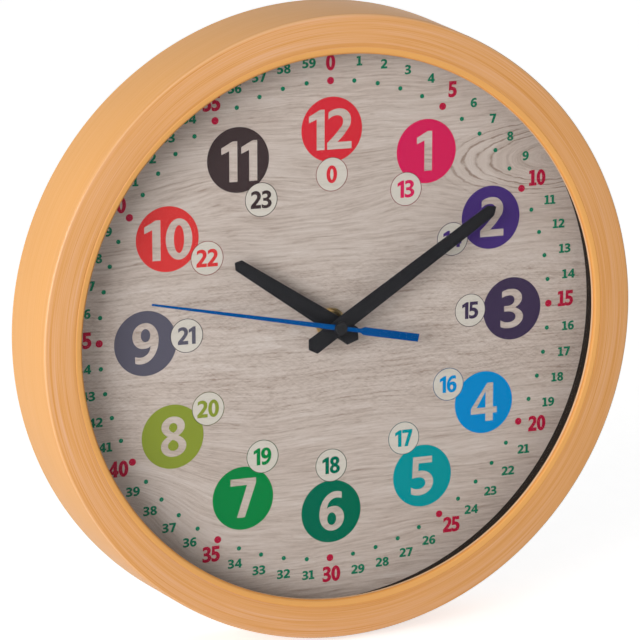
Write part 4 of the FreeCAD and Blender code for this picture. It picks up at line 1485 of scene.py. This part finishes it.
HOUR_MARKS = (
    HourMark(12, "red_ink", (218, 50, 62), (0.006, 0.801), (0.006, 0.617), (-0.8, 0.0), 0.065),
    HourMark(1, "rose_ink", (218, 38, 92), (0.428, 0.685), (0.337, 0.534), (-1.0, 0.1)),
    HourMark(2, "violet_ink", (74, 52, 122), (0.725, 0.388), (0.550, 0.309), (0.7, 0.1)),
    HourMark(3, "plum_ink", (66, 54, 82), (0.829, -0.008), (0.635, 0.0)),
    HourMark(4, "sky_ink", (4, 142, 212), (0.702, -0.401), (0.537, -0.308)),
    HourMark(5, "teal_ink", (4, 152, 160), (0.420, -0.691), (0.334, -0.520)),
    HourMark(6, "fir_ink", (0, 108, 82), (0.005, -0.800), (0.005, -0.603), (0.3, 0.0)),
    HourMark(7, "leaf_ink", (12, 134, 68), (-0.388, -0.702), (-0.301, -0.534), (0.2, 0.1)),
    HourMark(8, "olive_ink", (140, 154, 58), (-0.692, -0.412), (-0.538, -0.310), (0.25, 0.0)),
    HourMark(9, "slate_ink", (94, 92, 106), (-0.804, -0.016), (-0.628, 0.001)),
    HourMark(10, "coral_ink", (220, 62, 62), (-0.707, 0.402), (-0.538, 0.312), (0.5, -0.35),
             0.13),
    HourMark(11, "coal_ink", (66, 54, 55), (-0.402, 0.702), (-0.303, 0.534), (0.6, -0.7),
             0.10),
)
GREEN_INK = InkFinish("green_ink", tone(28, 124, 92), 0.5, specular=0.12)
CRIMSON_INK = InkFinish("crimson_ink", tone(184, 30, 64), 0.5, specular=0.12)


@dataclass(frozen=True)
class Dial:
    """The dial and its print: hour discs, small discs, minute dots and all numbers."""

    face: float = 19.5
    print_height: float = 0.1
    fill_height: float = 0.06
    minute_circle: float = 116.4
    disc_radius: float = 15.504
    disc_steps: int = 96
    bite_steps: int = 24
    day_disc_radius: float = 8.195
    outline_width: float = 0.3
    outline_inset: float = 0.01
    minute_dot_radius: float = 1.08
    minute_dot_steps: int = 24
    hours: Lettering = Lettering(19.2, 0.07, steps=10)
    day_hours: Lettering = Lettering(8.1, 0.075, 0.93, bolder=0.12)
    fives: Lettering = Lettering(7.3, 0.085, 0.86, foot=True, bolder=0.22)
    ones: Lettering = Lettering(4.3, 0.09, 1.1, foot=True, steps=5, bolder=0.10)
    minute_number_waves: tuple[tuple[float, ...], ...] = (
        (1.71, 125.92, 0.1, -0.65, 0.12, -0.59), (0.91, -0.23, 125.13, -0.25, -0.31, 0.0))
    five_number_places: tuple[Point, ...] = (
        (0.0, 125.1), (63.4, 108.8), (109.3, 63.0), (125.8, 1.8), (111.1, -60.1),
        (64.9, -106.8), (0.8, -124.6), (-61.6, -107.6), (-107.9, -60.9), (-125.0, 2.0),
        (-107.0, 64.5), (-59.9, 109.2))

    def place(self, shares: Point) -> Point:
        """Turn shares of the minute circle into x and z."""
        return (shares[0] * self.minute_circle, shares[1] * self.minute_circle)

    def minute_place(self, minute: int) -> Point:
        """Give the place of a minute's number: a circle that wanders a little.

        Args:
            minute: The minute.

        Returns:
            The place's x and z.
        """
        turn = math.radians(6 * minute)
        waves = (1.0, math.sin(turn), math.cos(turn), math.sin(2 * turn), math.cos(2 * turn),
                 math.sin(3 * turn))
        return tuple(sum(wave * size for wave, size in zip(waves, sizes))
                     for sizes in self.minute_number_waves)

    def bitten(self, centre: Point, bite: Point) -> Loop:
        """Give a big disc's outline without the part that the small disc covers.

        Args:
            centre: The big disc's centre.
            bite: The small disc's centre.

        Returns:
            The outline.
        """
        apart = math.dist(centre, bite)
        toward = math.atan2(bite[0] - centre[0], bite[1] - centre[1])
        big, small = self.disc_radius, self.day_disc_radius
        wide = math.acos((apart ** 2 + big ** 2 - small ** 2) / (2 * apart * big))
        narrow = math.acos((apart ** 2 + small ** 2 - big ** 2) / (2 * apart * small))
        outside = [on_dial(big, math.degrees(
            toward + wide + index / self.disc_steps * (2 * math.pi - 2 * wide)), centre)
            for index in range(self.disc_steps + 1)]
        inside = [on_dial(small, math.degrees(
            toward + math.pi + narrow - index / self.bite_steps * 2 * narrow), bite)
            for index in range(1, self.bite_steps)]
        return outside + inside

    def printed(self, name: str, loops: list[Loop], ink: Finish, slot: str,
                stands_for: str | None = None, rear: float = 0.0,
                front: float | None = None, bolder: float = 0.0) -> None:
        """Print a coat on the dial.

        Args:
            name: Name of the piece.
            loops: Its outlines.
            ink: Its ink.
            slot: A name for the ink's slot, handed on to the piece; not used.
            stands_for: The CAD node that it stands for, where there is one.
            rear: Where the coat starts in front of the dial's face.
            front: Where it ends, if not at the print's full height.
            bolder: How far the outlines grow.
        """
        front = self.print_height if front is None else front
        coat = MeshShop.cut_out(loops, self.face + rear, self.face + front, bolder=bolder)
        MeshShop.piece(name, [coat], ink, "root", stands_for, slot)

    def build_hours(self) -> None:
        """Build each hour's discs and numbers."""
        for mark in HOUR_MARKS:
            centre, bite = self.place(mark.place), self.place(mark.day_place)
            middle = (centre[0] + mark.nudge[0], centre[1] + mark.nudge[1])
            numeral = replace(self.hours, gap=mark.gap).number(mark.hour, middle)
            self.printed(f"hour_disc_{mark.hour:02d}", [self.bitten(centre, bite)] + numeral,
                         mark.ink, "red_print", "hour_discs")
            rim = self.day_disc_radius
            line = [circle(rim - inset, bite) for inset in (self.outline_inset,
                                                            self.outline_width)]
            for kind, loops, ink, rear, front, bolder in (
                    ("disc", [circle(rim, bite)], WHITE_INK, 0.0, self.fill_height, 0.0),
                    ("circle", line, mark.line_ink, self.fill_height, self.print_height, 0.0),
                    ("number", self.day_hours.number(mark.day_hour, bite), mark.ink,
                     self.fill_height, self.print_height, self.day_hours.bolder)):
                self.printed(f"day_{kind}_{mark.day_hour:02d}", loops, ink, "pale_print",
                             "day_hour_discs", rear, front, bolder)

    def build_minutes(self) -> None:
        """Build the numbers of the minutes and of each fifth minute."""
        five_loops: list[Loop] = []
        one_loops: list[Loop] = []
        dot_loops: list[Loop] = []
        for minute in range(60):
            if minute % 5 == 0:
                five_loops += self.fives.number(minute, self.five_number_places[minute // 5])
            else:
                one_loops += self.ones.number(minute, self.minute_place(minute))
                dot_loops.append(circle(self.minute_dot_radius, on_dial(
                    self.minute_circle, 6 * minute), self.minute_dot_steps))
        self.printed("five_minute_numbers", five_loops, CRIMSON_INK, "crimson_print",
                     bolder=self.fives.bolder)
        self.printed("minute_dot_print", dot_loops, GREEN_INK, "green_print", "minute_dots")
        self.printed("minute_numbers", one_loops, GREEN_INK, "green_print",
                     bolder=self.ones.bolder)

    def build(self) -> None:
        """Dress the dial and build all that is printed on it."""
        dress_node("dial_plate", DIAL_PRINT)
        dress_node("five_minute_dots", CRIMSON_INK)
        self.build_hours()
        self.build_minutes()


@dataclass(frozen=True)
class Sheet:
    """A hand's sheet and the collar that holds it to its pipe or arbor."""

    front: float
    thickness: float
    edge: float
    bore: float
    collar_wall: float
    collar_height: float
    collar_edge: float
    collar_steps: int

    def meshes(self, outline: Loop) -> list[bpy.types.Mesh]:
        """Build the sheet and its collar.

        Args:
            outline: The sheet's outline.

        Returns:
            Both meshes.
        """
        rear, outer = self.front - self.thickness, self.bore + self.collar_wall
        foot = rear - self.collar_height
        collar = [Corner(self.bore, foot), Corner(self.bore, rear), Corner(outer, rear),
                  Corner(outer, foot, self.collar_edge)]
        return [MeshShop.cut_out([outline, circle(self.bore)], rear, self.front, self.edge),
                MeshShop.turned(collar, self.collar_steps)]


@dataclass(frozen=True)
class BarHand:
    """A flat tapered bar hand with blunt points, on a collar."""

    name: str
    body: str
    tip: float
    tip_point: float
    tip_width: float
    tail: float
    tail_point: float
    tail_width: float
    angle: float
    sheet: Sheet

    def build(self) -> None:
        """Build the hand in place of its CAD node."""
        tip_foot, tail_foot = self.tip - self.tip_point, self.tail_point - self.tail
        corners = [(0.0, self.tip), (self.tip_width / 2, tip_foot),
                   (self.tail_width / 2, tail_foot), (0.0, -self.tail),
                   (-self.tail_width / 2, tail_foot), (-self.tip_width / 2, tip_foot)]
        MeshShop.piece(self.name + "_blade", self.sheet.meshes(turned_loop(corners, self.angle)),
                       BLACK_PAINT, self.body, self.name, "black_paint")


@dataclass(frozen=True)
class Needle:
    """The second hand: needle, hub, neck and counterweight in one sheet, on a collar."""

    tip: float = 96.7
    tip_width: float = 1.0
    root_width: float = 2.5
    hub_radius: float = 2.4
    hub_steps: int = 16
    neck_width: float = 2.0
    weight_start: float = 12.5
    weight_end: float = 41.5
    weight_width: float = 3.9
    angle: float = 281.42
    sheet: Sheet = Sheet(32.25, 0.4, 0.06, 0.5, 0.8, 0.6, 0.1, 32)

    def side(self) -> Loop:
        """Give the right side of the outline.

        Returns:
            Its points, from the tip down.
        """
        taper = (self.root_width - self.tip_width) / 2 / self.tip
        root = self.root_width / 2 - taper * self.hub_radius
        neck, half = self.neck_width / 2, self.weight_width / 2
        first = math.degrees(math.asin(root / self.hub_radius))
        last = 180 - math.degrees(math.asin(neck / self.hub_radius))
        hub = [on_dial(self.hub_radius, first + (last - first) * step / self.hub_steps)
               for step in range(self.hub_steps + 1)]
        return [(self.tip_width / 2, self.tip), *hub, (neck, half - self.weight_start),
                (half, -self.weight_start), (half, -self.weight_end)]

    def build(self) -> None:
        """Build the hand in place of its CAD node."""
        right = self.side()
        outline = turned_loop(right + [(-x, z) for x, z in reversed(right)], self.angle)
        MeshShop.piece("second_hand_blade", self.sheet.meshes(outline), BLUE_PAINT, "second",
                       "second_hand", "blue_paint")


@dataclass(frozen=True)
class DressedNodes:
    """CAD nodes that keep their shape and get a finish: each finish with its nodes."""

    finishes: NodeFinishes = ()

    def build(self) -> None:
        """Dress every node."""
        for finish, names in self.finishes:
            for name in names.split():
                dress_node(name, finish)


@dataclass(frozen=True)
class Window(DressedNodes):
    """The glass and the spacer behind it."""

    finishes: NodeFinishes = (
        (CLEAR_GLASS, "glass_lens"), (BLACK_PLASTIC, "spacer_ring"))


@dataclass(frozen=True)
class Hands(DressedNodes):
    """The three hands, the cap, and the nut and washers behind them."""

    hour: BarHand = BarHand("hour_hand", "hour", 62.5, 2.4, 5.7, 13.3, 3.7, 9.7, 303.73,
                            Sheet(28.0, 0.5, 0.1, 2.55, 0.8, 1.0, 0.15, 48))
    minute: BarHand = BarHand("minute_hand", "minute", 97.5, 3.3, 6.2, 18.2, 2.6, 8.5, 57.55,
                              Sheet(30.0, 0.5, 0.1, 1.4, 0.8, 1.0, 0.15, 48))
    second: Needle = Needle()
    finishes: NodeFinishes = (
        (CAP_PLASTIC, "second_hand_cap"), (BRASS, "bush_nut nut_washer"),
        (RUBBER, "rubber_washer"))

    def build(self) -> None:
        """Build the hands and dress the rest."""
        for hand in (self.hour, self.minute, self.second):
            hand.build()
        super().build()


@dataclass(frozen=True)
class Back(DressedNodes):
    """The cover and its screws."""

    finishes: NodeFinishes = (
        (GREY_PLASTIC, "back_cover"), (STEEL, "cover_screws"))


@dataclass(frozen=True)
class Movement(DressedNodes):
    """The battery movement: case, plate, motor, circuit, cell, contacts and gears."""

    finishes: NodeFinishes = (
        (CASE_PLASTIC, "movement_front_case movement_rear_case"),
        (PLATE_PLASTIC, "gear_plate coil_bobbin"), (CORE_IRON, "stator_plate coil_core"),
        (COPPER_WIRE, "coil_winding"), (BOARD, "circuit_board"), (RESIN, "clock_chip"),
        (SPRING_STEEL, "quartz_crystal negative_contact positive_contact clutch_spring"),
        (CELL_SLEEVE, "battery"), (MAGNET, "rotor_magnet"),
        (GEAR_PLASTIC, "rotor_pinion fifth_wheel seconds_wheel third_wheel centre_wheel "
                       "minute_cannon motion_wheel hour_wheel"),
        (KNOB_PLASTIC, "setting_knob"))


@dataclass(frozen=True)
class Studio:
    """Floor, lamp, world and camera, in metres where they are far from the clock."""

    floor_height: float = -152.5
    floor_size: float = 14.0
    camera_place: tuple[float, float, float] = (-0.5923490, -1.4004484, 0.3296904)
    camera_turn: tuple[float, float, float] = (77.6755, -0.0336, -23.0265)
    lens: float = 181.4632
    sensor: float = 36.0
    sight: Point = (0.05, 50.0)
    world_light: float = 0.36
    key_place: tuple[float, float, float] = (-1.50, -1.18, 0.34)
    key_size: float = 1.1
    key_power: float = 27.0

    @staticmethod
    def stand(name: str, data: bpy.types.ID) -> bpy.types.Object:
        """Put a new object into the scene.

        Args:
            name: Its name.
            data: What it shows.

        Returns:
            The object.
        """
        made = bpy.data.objects.new(name, data)
        bpy.context.scene.collection.objects.link(made)
        return made

    def build_floor(self) -> None:
        """Lay the floor under the clock."""
        built = bmesh.new()
        bmesh.ops.create_grid(built, x_segments=4, y_segments=4, size=self.floor_size / 2)
        bmesh.ops.translate(built, vec=(0, self.floor_size / 4, self.floor_height * MM),
                            verts=built.verts)
        mesh = bpy.data.meshes.new("studio_floor")
        built.to_mesh(mesh)
        built.free()
        floor = self.stand("studio_floor", mesh)
        floor.data.materials.append(FLOOR.material())

    def build_world(self) -> None:
        """Light the room softly, and show it white to the eye, in mirrors and through glass."""
        world = bpy.context.scene.world = bpy.data.worlds.new("studio_world")
        world.use_nodes = True
        world.node_tree.nodes.clear()
        wiring = Wiring(world.node_tree)
        strength = wiring.rays(*SIGHT).fit(0.0, 1.0, self.world_light, 1.0)
        light = wiring.result("ShaderNodeBackground", {"Color": (1.0, 1.0, 1.0, 1.0),
                                                       "Strength": strength})
        wiring.add("ShaderNodeOutputWorld", {"Surface": light})

    def build_lamp(self) -> None:
        """Hang the large soft lamp to the left of the camera."""
        data = bpy.data.lights.new("soft_key", "AREA")
        data.shape = "DISK"
        data.size = self.key_size
        data.energy = self.key_power
        lamp = self.stand("soft_key", data)
        lamp.location = self.key_place
        lamp.rotation_euler = (-Vector(self.key_place)).to_track_quat("-Z", "Y").to_euler()

    def build_camera(self) -> None:
        """Set up the camera at the photograph's viewing angle."""
        data = bpy.data.cameras.new("camera")
        data.lens = self.lens
        data.sensor_width = self.sensor
        data.clip_start, data.clip_end = self.sight
        camera = self.stand("camera", data)
        camera.location = self.camera_place
        camera.rotation_euler = tuple(math.radians(turn) for turn in self.camera_turn)
        bpy.context.scene.camera = camera

    def build(self) -> None:
        """Set up everything round the clock."""
        self.build_floor()
        self.build_world()
        self.build_lamp()
        self.build_camera()
        bpy.context.scene.view_settings.view_transform = "Standard"


def main() -> None:
    """Build the clock's looks, sub-assembly by sub-assembly."""
    logging.basicConfig(level=logging.INFO, format="%(message)s")
    for part in (Studio(), RingFrame(), Window(), Dial(), Hands(), Back(), Movement()):
        LOG.info("building %s", type(part).__name__)
        part.build()


if __name__ == "__main__":
    main()
